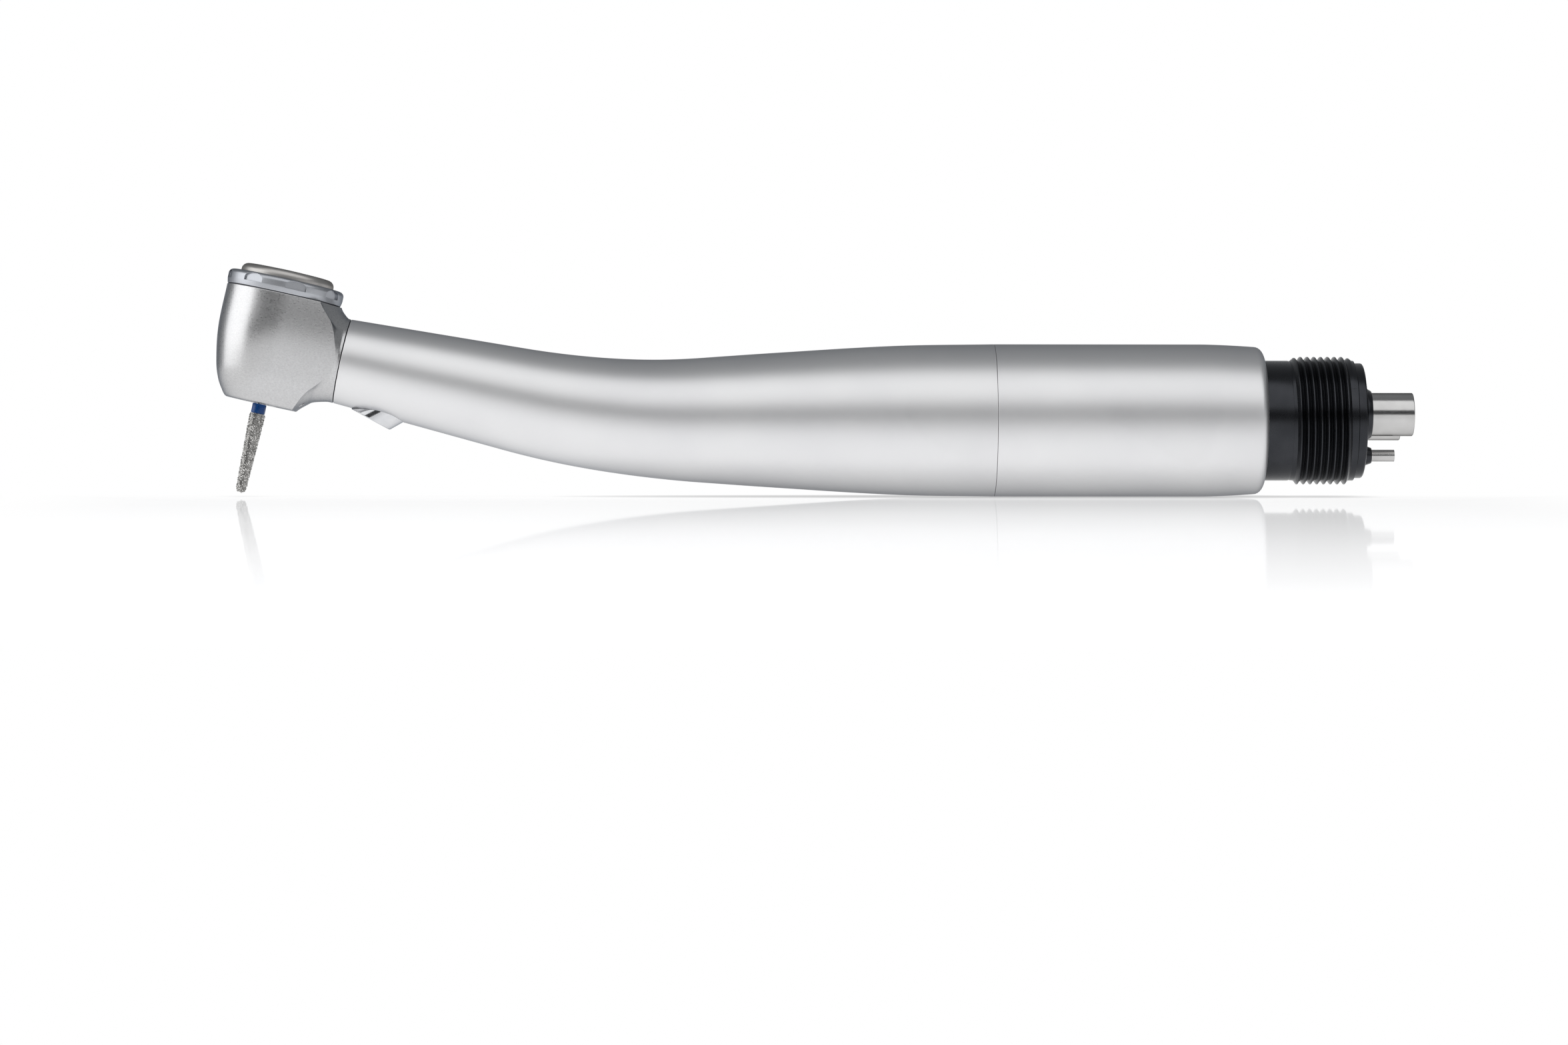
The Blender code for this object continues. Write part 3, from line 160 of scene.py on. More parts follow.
def meshData(name, mesh, material):
    data = bpy.data.meshes.new(name)
    mesh.to_mesh(data)
    mesh.free()
    data.materials.append(material)
    return data


def addObject(name, data):
    item = bpy.data.objects.new(name, data)
    scene.collection.objects.link(item)
    return item


def tempObject(name, mesh):
    return addObject(name, meshData(name, mesh, bpy.data.materials.new(name)))


def carve(mesh, tools, weld=0.0005):  # boolean cuts, and the edges that a cut leaves stay crisp
    base = tempObject("carveBase", mesh)
    helpers = [base]
    for k, (operation, tool) in enumerate(tools):
        helper = tempObject(f"carveTool{k}", tool)
        helpers.append(helper)
        cut = base.modifiers.new(f"cut{k}", "BOOLEAN")
        cut.operation = operation
        cut.solver = "EXACT"
        cut.material_mode = "TRANSFER"
        cut.object = helper
    bpy.context.view_layer.update()
    shaped = base.evaluated_get(bpy.context.evaluated_depsgraph_get())
    result = bmesh.new()
    result.from_mesh(shaped.to_mesh())
    shaped.to_mesh_clear()
    bmesh.ops.remove_doubles(result, verts=result.verts, dist=weld)
    for edge in result.edges:
        sides = {face.material_index for face in edge.link_faces}
        edge.smooth = len(sides) < 2
    for helper in helpers:
        data = helper.data
        bpy.data.objects.remove(helper)
        for material in list(data.materials):
            bpy.data.materials.remove(material)
        bpy.data.meshes.remove(data)
    return result


def makePiece(name, mesh, place, material, body, nodes, crispAngle=32):
    for edge in mesh.edges:
        if len(edge.link_faces) == 2 and edge.calc_face_angle() > math.radians(crispAngle):
            edge.smooth = False
    for face in mesh.faces:
        face.smooth = True
        face.material_index = 0
    bmesh.ops.scale(mesh, vec=(mm, mm, mm), verts=mesh.verts)
    piece = addObject(name, meshData(name, mesh, material))
    piece.matrix_world = place
    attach(piece, body)
    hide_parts(*nodes)
    return piece


# finishes

noiseSpan = {"value": (0.3, 0.7), "tint": (0.32, 0.68)}  # the part of the noise that is spread out
fineGrain = {"bumpDepth": 0.3, "edgeSamples": 6}


def newFinish(name):
    material = bpy.data.materials.new(name)
    material.use_nodes = True
    tree = material.node_tree
    return material, tree, tree.nodes["Principled BSDF"]


def setInputs(node, values):
    for name, value in values.items():
        node.inputs[name].default_value = value


def noiseAt(tree, size, stretch=(1, 1, 1)):  # size of the marks in millimetres
    coords = tree.nodes.new("ShaderNodeTexCoord")
    mapping = tree.nodes.new("ShaderNodeMapping")
    mapping.inputs["Scale"].default_value = [share / (size * mm) for share in stretch]
    noise = tree.nodes.new("ShaderNodeTexNoise")
    noise.inputs["Scale"].default_value = 1.0
    tree.links.new(coords.outputs["Object"], mapping.inputs["Vector"])
    tree.links.new(mapping.outputs["Vector"], noise.inputs["Vector"])
    return noise.outputs["Fac"]


def spread(tree, value, span, low=0.0, high=1.0, kind="LINEAR"):
    node = tree.nodes.new("ShaderNodeMapRange")
    node.interpolation_type = kind
    setInputs(node, {"From Min": span[0], "From Max": span[1], "To Min": low, "To Max": high})
    tree.links.new(value, node.inputs["Value"])
    return node.outputs["Result"]


def tintBetween(tree, value, deep, pale):
    ramp = tree.nodes.new("ShaderNodeValToRGB")
    for stop, place, tint in zip(ramp.color_ramp.elements, noiseSpan["tint"], (deep, pale)):
        stop.position = place
        stop.color = (*tint, 1)
    tree.links.new(value, ramp.inputs["Fac"])
    return ramp.outputs["Color"]


def finish(name, look):
    material, tree, shader = newFinish(name)
    link = tree.links.new
    grain = noiseAt(tree, look["grain"], look.get("stretch", (1, 1, 1)))
    tintFrom = noiseAt(tree, look["patch"]) if "patch" in look else grain
    link(tintBetween(tree, tintFrom, look["deep"], look["pale"]), shader.inputs["Base Color"])
    link(spread(tree, grain, noiseSpan["value"], *look["rough"]), shader.inputs["Roughness"])
    rim = look.get("rim", (1, 1, 1))  # steel darkens at grazing angles
    setInputs(shader, {"Metallic": look.get("metal", 1.0), "Specular IOR Level": look.get("shine", 0.5),
                       "Specular Tint": (*rim, 1), "Coat Weight": look.get("coat", 0.0)})
    bump = tree.nodes.new("ShaderNodeBump")
    depth = look["grain"] * mm * fineGrain["bumpDepth"]
    setInputs(bump, {"Strength": look.get("bump", 0.1), "Distance": depth})
    link(grain, bump.inputs["Height"])
    if "edge" in look:  # edges shade as if they were a little rounded
        edge = tree.nodes.new("ShaderNodeBevel")
        edge.samples = fineGrain["edgeSamples"]
        edge.inputs["Radius"].default_value = look["edge"] * mm
        link(edge.outputs["Normal"], bump.inputs["Normal"])
    link(bump.outputs["Normal"], shader.inputs["Normal"])
    return material


# the line of the handle: straight from the hose end, then a bend up to the head

handleLine = {"bendStart": 65.4, "bendRadius": 87.0, "neckAngle": 12.4, "headSeam": 101.9286,
              "neckReach": 7.04, "neckHeight": 5.85}


def alongHandle(distance):
    neckTurn = math.radians(handleLine["neckAngle"])
    radius = handleLine["bendRadius"]
    past = distance - handleLine["bendStart"]
    turn = min(max(past / radius, 0), neckTurn)
    neck = max(past - radius * neckTurn, 0)
    forward = Vector((-math.cos(turn), 0, math.sin(turn)))
    up = Vector((math.sin(turn), 0, math.cos(turn)))
    straight = min(distance, handleLine["bendStart"])
    point = Vector((-straight - radius * math.sin(turn), 0, radius * (1 - math.cos(turn))))
    return point + neck * forward, forward, up


def besideHandle(distance, rise, aside):
    point, _, up = alongHandle(distance)
    return point + rise * up + Vector((0, aside, 0))


seamPoint, seamForward, seamUp = alongHandle(handleLine["headSeam"])
headFoot = seamPoint + handleLine["neckReach"] * seamForward - handleLine["neckHeight"] * seamUp
headTurn = math.radians(handleLine["neckAngle"])
worldPlace = Matrix.Identity(4)
handlePlace = Matrix.Rotation(math.radians(-90), 4, "Y")
headPlace = Matrix.Translation(headFoot * mm) @ Matrix.Rotation(headTurn, 4, "Y")
headAxis = Vector((math.sin(headTurn), 0, math.cos(headTurn)))

satinSteel = {"pale": (0.80, 0.80, 0.805), "deep": (0.76, 0.76, 0.77), "rim": (0.22, 0.24, 0.27),
              "rough": (0.40, 0.46), "grain": 0.09, "bump": 0.10, "patch": 9.0, "edge": 0.05}
satinBody = finish("satinBody", satinSteel)


# body shell with the lamp's hole

bodyShell = {"rear": 36.67, "grip": 15.14, "neck": 8.47, "wall": 0.9, "spigot": 5.0, "spigotRadius": 6.57,
             "spigotEdge": 0.2, "seamGap": 0.07, "edge": 0.05, "rearEdge": 0.03, "stations": 130,
             "boreStart": 3, "sides": 128,
             "taper": ((0, 1), (0.15, 0.95), (0.34, 0.73), (0.52, 0.49), (0.70, 0.31), (1, 0))}
lamp = {"diameter": 3.7, "wall": 0.35, "length": 4.0, "back": 3.97, "drop": 5.03, "cutAngle": 32.0,
        "edge": 0.10, "edgeSteps": 5, "recess": 0.3, "lensLength": 1.6, "lensGap": 0.02, "lensDome": 0.25,
        "lensSteps": 9, "sides": 96, "gap": 0.05}
burTip = -9.05  # the lamp points at it
lampFoot = besideHandle(handleLine["headSeam"] - lamp["back"], -lamp["drop"], 0)
lampAim = headFoot + burTip * headAxis - lampFoot
lampTurn = math.atan2(lampAim.x, lampAim.z)
lampPlace = Matrix.Translation(lampFoot * mm) @ Matrix.Rotation(lampTurn, 4, "Y")
lampPlaceMm = Matrix.Translation(lampFoot) @ Matrix.Rotation(lampTurn, 4, "Y")


def shellRadius(distance):
    share = (distance - bodyShell["rear"]) / (handleLine["headSeam"] - bodyShell["rear"])
    taper = smoothCurve(bodyShell["taper"], min(max(share, 0), 1))
    return (bodyShell["neck"] + taper * (bodyShell["grip"] - bodyShell["neck"])) / 2


def makeBodyShell():
    shape = bodyShell
    rear, front = shape["rear"], handleLine["headSeam"] - shape["seamGap"]
    count = shape["stations"]
    stations = [rear + (front - rear) * i / (count - 1) for i in range(count)]
    bore = shape["spigotRadius"] - shape["wall"]
    back = rear - shape["spigot"]
    points = [(shellRadius(front), front, shape["edge"])]
    points += [(shellRadius(d), d, 0) for d in reversed(stations[1:-1])]
    points += [(shellRadius(rear), rear, shape["rearEdge"]), (shape["spigotRadius"], rear, 0)]
    points += [(shape["spigotRadius"], back, shape["spigotEdge"]), (bore, back, 0),
               (bore, rear + shape["wall"], 0)]
    points += [(shellRadius(d) - shape["wall"], d, 0) for d in stations[shape["boreStart"]:]]
    rings = []
    for radius, distance in roundCorners(points):
        middle, _, up = alongHandle(distance)
        flat = circle(radius, 0, shape["sides"])
        rings.append([middle + spot.x * up + Vector((0, spot.y, 0)) for spot in flat])
    hole = lamp["diameter"] / 2 + lamp["gap"]
    reach = lamp["length"]
    cutter = lathe([(0, -reach), (hole, -reach), (hole, reach), (0, reach)], lamp["sides"])
    bmesh.ops.transform(cutter, matrix=lampPlaceMm, verts=cutter.verts)
    mesh = carve(skinRings(rings, closed=True), [("DIFFERENCE", cutter)])
    makePiece("bodyShell", mesh, worldPlace, satinBody, "handpiece", ["body_shell"])


makeBodyShell()
print("body shell done")


# lamp under the neck, its end cut on the slant

lampChrome = {"pale": (0.70, 0.705, 0.72), "deep": (0.62, 0.63, 0.65), "rim": (0.4, 0.42, 0.45),
              "rough": (0.10, 0.16), "grain": 0.05, "stretch": (1, 1, 0.1), "bump": 0.02, "patch": 1.5,
              "edge": 0.03}
lensGlass = {"tint": (0.95, 0.97, 1.0), "rough": (0.02, 0.08), "grain": 0.3, "ior": 1.5}


def slantRing(radius, depth):
    ring = circle(radius, 0, lamp["sides"])
    for point in ring:
        point.z = point.x * math.tan(math.radians(lamp["cutAngle"])) - depth
    return ring


def makeLamp():
    outer = lamp["diameter"] / 2
    inner = outer - lamp["wall"]
    edge = lamp["edge"]
    rounds = quarterRound(lamp["edgeSteps"])
    rings = [circle(outer, -lamp["length"], lamp["sides"])]
    rings += [slantRing(outer - edge * side, edge * rise) for side, rise in rounds]
    rings += [slantRing(inner + edge * rise, edge * side) for side, rise in rounds]
    rings.append(circle(inner, -lamp["length"], lamp["sides"]))
    makePiece("lampSleeve", skinRings(rings, closed=True), lampPlace, finish("lampChrome", lampChrome),
              "handpiece", ["lamp_sleeve"])

    material, tree, shader = newFinish("lensGlass")
    haze = noiseAt(tree, lensGlass["grain"])
    tree.links.new(spread(tree, haze, noiseSpan["value"], *lensGlass["rough"]), shader.inputs["Roughness"])
    setInputs(shader, {"Base Color": (*lensGlass["tint"], 1), "Transmission Weight": 1.0,
                       "IOR": lensGlass["ior"]})
    glass = inner - lamp["lensGap"]
    rings = [circle(glass, -lamp["lensLength"], lamp["sides"])]
    for k in range(lamp["lensSteps"]):  # a low dome on the lens
        share = k / lamp["lensSteps"]
        dome = lamp["lensDome"] * (1 - (1 - share) ** 2)
        rings.append(slantRing(glass * (1 - share), lamp["recess"] - dome))
    makePiece("lampLens", skinRings(rings, closed=False), lampPlace, material, "handpiece",
              ["lamp_lens"])


makeLamp()
print("lamp done")


# rear sleeve

rearSleeve = {"rear": 9.85, "bore": 6.62, "boreEdge": 0.05, "lipRadius": 6.02, "lip": 1.5, "lipEdge": 0.03,
              "endRadius": 7.33, "taperStart": 16.2, "taperSteps": 10, "taperPower": 1.6,
              "roundLength": 0.95, "roundHeight": 1.22, "roundSteps": 8, "edge": 0.03, "seamGap": 0.03,
              "sides": 160}


def makeRearSleeve():
    shape = rearSleeve
    grip = bodyShell["grip"] / 2
    front = bodyShell["rear"] - shape["seamGap"]
    end, rear = shape["endRadius"], shape["rear"]
    points = [(grip, front, shape["edge"])]
    for k in range(shape["taperSteps"] + 1):  # the sleeve draws in slowly towards the hose end
        share = k / shape["taperSteps"]
        height = shape["taperStart"] + share * (rear + shape["roundLength"] - shape["taperStart"])
        points.append((grip + share ** shape["taperPower"] * (end - grip), height, 0))
    for side, rise in quarterRound(shape["roundSteps"])[1:]:
        points.append((end - shape["roundHeight"] * side, rear + shape["roundLength"] * rise, 0))
    lip = rear + shape["lip"]
    points += [(shape["lipRadius"], rear, shape["lipEdge"]), (shape["lipRadius"], lip, 0)]
    points += [(shape["bore"], lip, 0), (shape["bore"], front, shape["boreEdge"])]
    makePiece("rearSleeve", lathe(roundCorners(points), shape["sides"]), handlePlace, satinBody,
              "handpiece", ["rear_sleeve"])


makeRearSleeve()
print("rear sleeve done")


# connector with its thread, and the tubes behind it

connector = {"root": 5.97, "crest": 6.35, "pitch": 0.675, "turns": 8.35, "threadStart": 0.97, "phase": -60,
             "fade": 0.25, "leastCrest": 0.06, "crestFlat": 0.12, "runIn": 0.15, "runGap": 0.05,
             "endRadius": 5.725, "endRound": 0.22, "endSteps": 5, "plug": 5.2, "front": 15.9,
             "flange": 11.4, "flangeLength": 2.1, "flangeRadius": 6.57, "groove": 6.01, "grooveHalf": 0.33,
             "drill": (-1, 20), "sides": 128}
tubes = {"exhaust": {"radius": 2.14, "wall": 0.30, "rear": -4.72, "front": 16.2, "place": (0.53, -2.8),
                     "collar": 0.55},
         "inlet": {"radius": 1.5, "wall": 0.30, "rear": -4.16, "front": 17.65, "place": (-0.38, 2.9)},
         "water": {"radius": 0.585, "wall": 0.25, "rear": -3.25, "place": (-3.48, 0.0), "collar": 0.95},
         "spray": {"radius": 0.5, "place": (3.48, 0.0)}}
tubeDetail = {"sides": 72, "chamfer": 0.12, "boreChamfer": 0.048, "gap": 0.02, "collarFoot": 0.49,
              "collarTop": 1 / 3, "collarEdges": (0.03, 0.1, 0.04)}
waterRoute = {"neck": (0.9, -1.9), "frontGap": 0.5, "steps": 90, "sides": 40}
blackMetal = {"pale": (0.050, 0.052, 0.058), "deep": (0.038, 0.040, 0.045), "rough": (0.24, 0.32),
              "grain": 0.06, "stretch": (1, 1, 3), "bump": 0.06, "patch": 3.0, "edge": 0.03}
tubeSteel = {"pale": (0.58, 0.575, 0.57), "deep": (0.52, 0.515, 0.51), "rim": (0.22, 0.22, 0.22),
             "rough": (0.15, 0.23), "grain": 0.04, "stretch": (1, 1, 0.08), "bump": 0.04, "patch": 2.0,
             "edge": 0.02}


def makeThread(rearProfile, frontProfile):
    mesh = bmesh.new()
    shape = connector
    sides = shape["sides"]
    step = 2 * math.pi / sides
    steps = int(shape["turns"] * sides)
    flat = shape["crestFlat"] / 2

    def helix(index, radius, shift):
        along = shape["threadStart"] + (index / sides + shift) * shape["pitch"]
        return mesh.verts.new((radius * math.cos(step * index), radius * math.sin(step * index), along))

    def crestRadius(index):  # the crest fades in and out at the ends
        fade = min(index, steps - index) / (sides * shape["fade"])
        return shape["root"] + (shape["crest"] - shape["root"]) * min(max(fade, shape["leastCrest"]), 1)

    roots = [helix(i, shape["root"], 0) for i in range(steps + sides + 1)]
    crests = [[helix(i, crestRadius(i), 0.5 + side) for i in range(steps + 1)] for side in (-flat, flat)]
    rear = [[mesh.verts.new(p) for p in circle(r, z, sides)] for r, z in rearProfile]
    front = [[mesh.verts.new(p) for p in circle(r, z, sides)] for r, z in frontProfile]
    for loops in (rear, front):
        for first, second in zip(loops, loops[1:]):
            joinLoops(mesh, first, second)
    mesh.faces.new(rear[0])
    mesh.faces.new(front[-1])
    low, high = crests
    for i in range(steps):
        mesh.faces.new((roots[i], roots[i + 1], low[i + 1], low[i]))
        mesh.faces.new((low[i], low[i + 1], high[i + 1], high[i]))
        mesh.faces.new((high[i], high[i + 1], roots[i + 1 + sides], roots[i + sides]))
    lastRear, firstFront = rear[-1], front[0]
    for i in range(sides):
        mesh.faces.new((lastRear[i], lastRear[(i + 1) % sides], roots[i + 1], roots[i]))
        here, there = (steps + i) % sides, (steps + i + 1) % sides
        mesh.faces.new((roots[steps + i], roots[steps + i + 1], firstFront[there], firstFront[here]))
    mesh.faces.new((lastRear[0], roots[0], low[0], high[0], roots[sides]))
    mesh.faces.new((firstFront[steps % sides], roots[steps + sides], high[steps], low[steps], roots[steps]))
    bmesh.ops.recalc_face_normals(mesh, faces=mesh.faces)
    turn = Matrix.Rotation(math.radians(shape["phase"]), 3, "Z")
    bmesh.ops.rotate(mesh, matrix=turn, cent=(0, 0, 0), verts=mesh.verts)
    return mesh


def makeConnector():
    shape = connector
    threadEnd = shape["threadStart"] + (shape["turns"] + 1) * shape["pitch"]
    flange, flangeEnd = shape["flange"], shape["flange"] + shape["flangeLength"]
    middle = (flange + flangeEnd) / 2
    low, high = middle - shape["grooveHalf"], middle + shape["grooveHalf"]
    root, wide, runIn, runGap = (shape[key] for key in ("root", "flangeRadius", "runIn", "runGap"))
    rearProfile = [(shape["endRadius"] - shape["endRound"] * rise, shape["endRound"] * side)
                   for side, rise in quarterRound(shape["endSteps"])]
    rearProfile += [(shape["endRadius"], shape["threadStart"] - runIn),
                    (root, shape["threadStart"] - runGap)]
    frontProfile = [(root - runGap, threadEnd + runGap), (root, threadEnd + runIn), (root, flange),
                    (wide, flange), (wide, low), (shape["groove"], low), (shape["groove"], high),
                    (wide, high), (wide, flangeEnd), (shape["plug"], flangeEnd),
                    (shape["plug"], shape["front"])]
    rear, front = shape["drill"]
    cutters = []
    for tube in tubes.values():
        hole = tube["radius"] + tubeDetail["gap"]
        cutter = lathe([(0, rear), (hole, rear), (hole, front), (0, front)], tubeDetail["sides"])
        bmesh.ops.translate(cutter, vec=(*tube["place"], 0), verts=cutter.verts)
        cutters.append(("DIFFERENCE", cutter))
    mesh = carve(makeThread(rearProfile, frontProfile), cutters)
    makePiece("connectorBody", mesh, handlePlace, blackFinish, "handpiece", ["connector"])


def straightTube(name, key, node):
    tube = tubes[key]
    outer, inner = tube["radius"], tube["radius"] - tube["wall"]
    points = [(outer, tube["front"], 0), (outer, tube["rear"], tubeDetail["chamfer"]),
              (inner, tube["rear"], tubeDetail["boreChamfer"]), (inner, tube["front"], 0)]
    mesh = lathe(roundCorners(points), tubeDetail["sides"])
    bmesh.ops.translate(mesh, vec=(*tube["place"], 0), verts=mesh.verts)
    makePiece(name, mesh, handlePlace, tubeFinish, "handpiece", [node])


def collarRing(name, key, node):
    tube = tubes[key]
    gap, foot = tubeDetail["gap"], tubeDetail["collarFoot"]
    bore, top = tube["radius"] + gap, -tube["collar"] - gap
    innerEdge, outerEdge, footEdge = tubeDetail["collarEdges"]
    points = [(bore, top, innerEdge), (bore + foot * tubeDetail["collarTop"], top, outerEdge),
              (bore + foot, -gap, footEdge), (bore, -gap, 0)]
    mesh = lathe(roundCorners(points), tubeDetail["sides"])
    bmesh.ops.translate(mesh, vec=(*tube["place"], 0), verts=mesh.verts)
    makePiece(name, mesh, handlePlace, blackFinish, "handpiece", [node])


def makeWaterTube():  # it runs on inside the handle, up to the head
    radius, wall, rear = (tubes["water"][key] for key in ("radius", "wall", "rear"))
    start, neck, steps = tubes["water"]["place"], waterRoute["neck"], waterRoute["steps"]
    front = handleLine["headSeam"] - waterRoute["frontGap"]
    shiftStart = bodyShell["rear"] - bodyShell["spigot"]
    shiftEnd = handleLine["headSeam"] - lamp["back"] - 2 * lamp["length"]
    route = []
    for k in range(steps + 1):
        distance = rear + (front - rear) * k / steps
        t = min(max((distance - shiftStart) / (shiftEnd - shiftStart), 0), 1)
        ease = t * t * (3 - 2 * t)
        route.append(besideHandle(distance, start[0] + ease * (neck[0] - start[0]),
                                  start[1] + ease * (neck[1] - start[1])))
    mesh = sweepTube(route, radius, radius - wall, waterRoute["sides"])
    makePiece("waterTube", mesh, worldPlace, tubeFinish, "handpiece", ["water_tube"])


blackFinish = finish("blackMetal", blackMetal)
tubeFinish = finish("tubeSteel", tubeSteel)
makeConnector()
straightTube("exhaustTube", "exhaust", "exhaust_tube")
straightTube("driveInletTube", "inlet", "drive_inlet_tube")
makeWaterTube()
collarRing("exhaustCollar", "exhaust", "exhaust_collar")
collarRing("waterCollar", "water", "water_collar")
print("connector and tubes done")


# head housing: a teardrop barrel that runs into the flared neck

head = {"height": 11.0, "radius": 5.7, "foot": 3.5, "flank": 11.0, "flankSteps": 8, "levels": 40,
        "levelPower": 1.3, "edgeSteps": 5, "past": 1, "sides": 128, "footEdge": 0.14, "rimEdge": 0.06,
        "swell": ((0, 0), (0.03, 0.14), (0.134, 0.468), (0.282, 0.723), (0.6, 0.982), (1, 1)),
        "flareOut": (0, 0.04, 0.39, 0.79, 1.66, 3.0), "flareUnder": (0, 0.69, 1.97, 2.56, 3.54, 4.6),
        "flareOver": (0, 0.29, 0.74, 1.09, 1.54, 2.04), "flareSteps": 40, "flareLimit": 5.0,
        "flareBlend": ((-90, 0), (-63, 0.2), (-45, 0.33), (-35, 0.6), (-22, 0.9), (0, 1.03), (20, 1.1),
                       (35, 0.98), (46, 0.6), (90, 1)),
        "seamEdge": 0.05, "seamShare": 0.3, "spigot": 2.0, "spigotRadius": 3.285, "spigotSink": 1,
        "spigotSides": 96,
        "bore": ((0, -1), (1.9, -1), (1.9, 0.7), (3.245, 0.7), (3.245, 3.43), (4.5, 3.43), (4.5, 7.45),
                 (4.9, 7.45), (4.9, 12), (0, 12)),
        "sprayOutlet": {"place": (4.2, -1.9), "radius": 0.25, "depth": (-1, 1.2), "sides": 24}}
headSteel = {"pale": (0.60, 0.60, 0.605), "deep": (0.52, 0.52, 0.525), "rim": (0.22, 0.24, 0.27),
             "rough": (0.27, 0.33), "grain": 0.16, "stretch": (0.8, 0.8, 1.3), "bump": 0.13, "edge": 0.07}


def teardrop(radius, height, reach):
    flank = math.radians(head["flank"])
    start = math.pi / 2 - flank
    points = []
    for i in range(head["sides"] + 1):
        angle = start + 2 * (math.pi - start) * i / head["sides"]
        points.append(Vector((radius * math.cos(angle), radius * math.sin(angle), height)))
    edge = radius * math.cos(flank) - (reach - radius * math.sin(flank)) * math.tan(flank)
    last, end = points[-1], Vector((reach, -edge, height))
    lower = [last.lerp(end, k / head["flankSteps"]) for k in range(1, head["flankSteps"] + 1)]
    upper = [Vector((spot.x, -spot.y, height)) for spot in reversed(lower)]
    return points + lower + upper


def headBarrel():
    rings = []
    foot, edge, rim = head["foot"], head["footEdge"], head["rimEdge"]
    far = handleLine["neckReach"] + head["past"]

    def radiusAt(height):
        return foot + smoothCurve(head["swell"], height / head["height"]) * (head["radius"] - foot)

    for side, rise in quarterRound(head["edgeSteps"])[:-1]:
        height = edge * side
        rings.append(teardrop(radiusAt(height) - edge * rise, height, far))
    for k in range(head["levels"] + 1):
        height = edge + (head["height"] - rim - edge) * (k / head["levels"]) ** head["levelPower"]
        rings.append(teardrop(radiusAt(height), height, far))
    rings.append(teardrop(head["radius"] - rim, head["height"], far))
    return skinRings(rings, closed=False)


def neckForm():
    neck, edge, sides = bodyShell["neck"] / 2, head["seamEdge"], head["sides"]
    out, under, over = (list(enumerate(head[key])) for key in ("flareOut", "flareUnder", "flareOver"))
    small = head["seamShare"] * edge
    sections = [(neck - edge, 0, 0), (neck - small, small, small)]  # radius, how far back below and above
    for k in range(1, head["flareSteps"] + 1):
        place = (len(out) - 1) * k / head["flareSteps"]
        sections.append((neck + smoothCurve(out, place), max(smoothCurve(under, place), edge),
                         max(smoothCurve(over, place), edge)))
    rings = []
    for radius, low, high in sections:
        points = []
        for i in range(sides):
            angle = 2 * math.pi * i / sides
            rise = math.degrees(math.asin(math.cos(angle)))
            back = low + smoothCurve(head["flareBlend"], rise) * (high - low)
            points.append(Vector((handleLine["neckReach"] - back, radius * math.sin(angle),
                                  handleLine["neckHeight"] + radius * math.cos(angle))))
        rings.append(points)
    wide = neck + head["flareLimit"]
    for reach in (0, -2 * head["radius"]):
        rings.append([Vector((reach, wide * spot.y, wide * spot.x + handleLine["neckHeight"]))
                      for spot in circle(1, 0, sides)])
    return skinRings(rings, closed=False)


def lyingRod(profile, sides):  # a turned rod along the neck
    mesh = lathe(profile, sides)
    turn = Matrix.Rotation(math.radians(90), 4, "Y")
    place = Matrix.Translation((0, 0, handleLine["neckHeight"])) @ turn
    bmesh.ops.transform(mesh, matrix=place, verts=mesh.verts)
    return mesh


def makeHead():
    plug, spray = head["spigotRadius"], head["sprayOutlet"]
    start = handleLine["neckReach"] - head["spigotSink"]
    end = handleLine["neckReach"] + head["spigot"]
    rod = lyingRod([(0, start), (plug, start), (plug, end), (0, end)], head["spigotSides"])
    size, (low, high) = spray["radius"], spray["depth"]
    outlet = lathe([(0, low), (size, low), (size, high), (0, high)], spray["sides"])
    bmesh.ops.translate(outlet, vec=(*spray["place"], 0), verts=outlet.verts)
    bore = lathe(head["bore"], head["sides"])
    tools = [("INTERSECT", neckForm()), ("UNION", rod), ("DIFFERENCE", bore), ("DIFFERENCE", outlet)]
    makePiece("headHousing", carve(headBarrel(), tools), headPlace, finish("headSteel", headSteel),
              "handpiece", ["head_housing"])


makeHead()
print("head housing done")


# head cap with its eight shallow flats

cap = {"radius": 5.8, "seam": 11.05, "seamIn": 0.10, "seamEdge": 0.08, "bevel": 0.5, "bevelEdge": 0.4,
       "top": 12.5, "round": 0.8, "roundSteps": 10, "opening": 4.71, "openingEdge": 0.08, "floor": 11.1,
       "skirt": 4.85, "skirtEnd": 7.5, "skirtEdge": 0.1, "seat": 3.245, "webHole": 1.9, "webEdge": 0.05,
       "webUnder": 10.4, "sides": 192}
flats = {"count": 8, "phase": -166.0, "width": 2.1, "depth": 0.30, "low": 0.50, "upright": 0.35,
         "high": 1.32, "steps": 16, "past": 1}
capSteel = {"pale": (0.49, 0.505, 0.535), "deep": (0.43, 0.445, 0.475), "rim": (0.22, 0.24, 0.27),
            "rough": (0.34, 0.42), "grain": 0.06, "stretch": (0.5, 0.5, 2.0), "bump": 0.08, "edge": 0.05}


def flatCutter():  # an upright slab with an arched top, laid against the rim
    half, low, high = flats["width"] / 2, cap["seam"] + flats["low"], cap["seam"] + flats["high"]
    archFoot = low + flats["upright"]
    outline = [(-half, low), (half, low)]
    for k in range(flats["steps"] + 1):
        part = math.pi * k / flats["steps"]
        outline.append((half * math.cos(part), archFoot + (high - archFoot) * math.sin(part)))
    reaches = (cap["radius"] - flats["depth"], cap["radius"] + flats["past"])
    return skinRings([[Vector((reach, y, z)) for y, z in outline] for reach in reaches], closed=False)


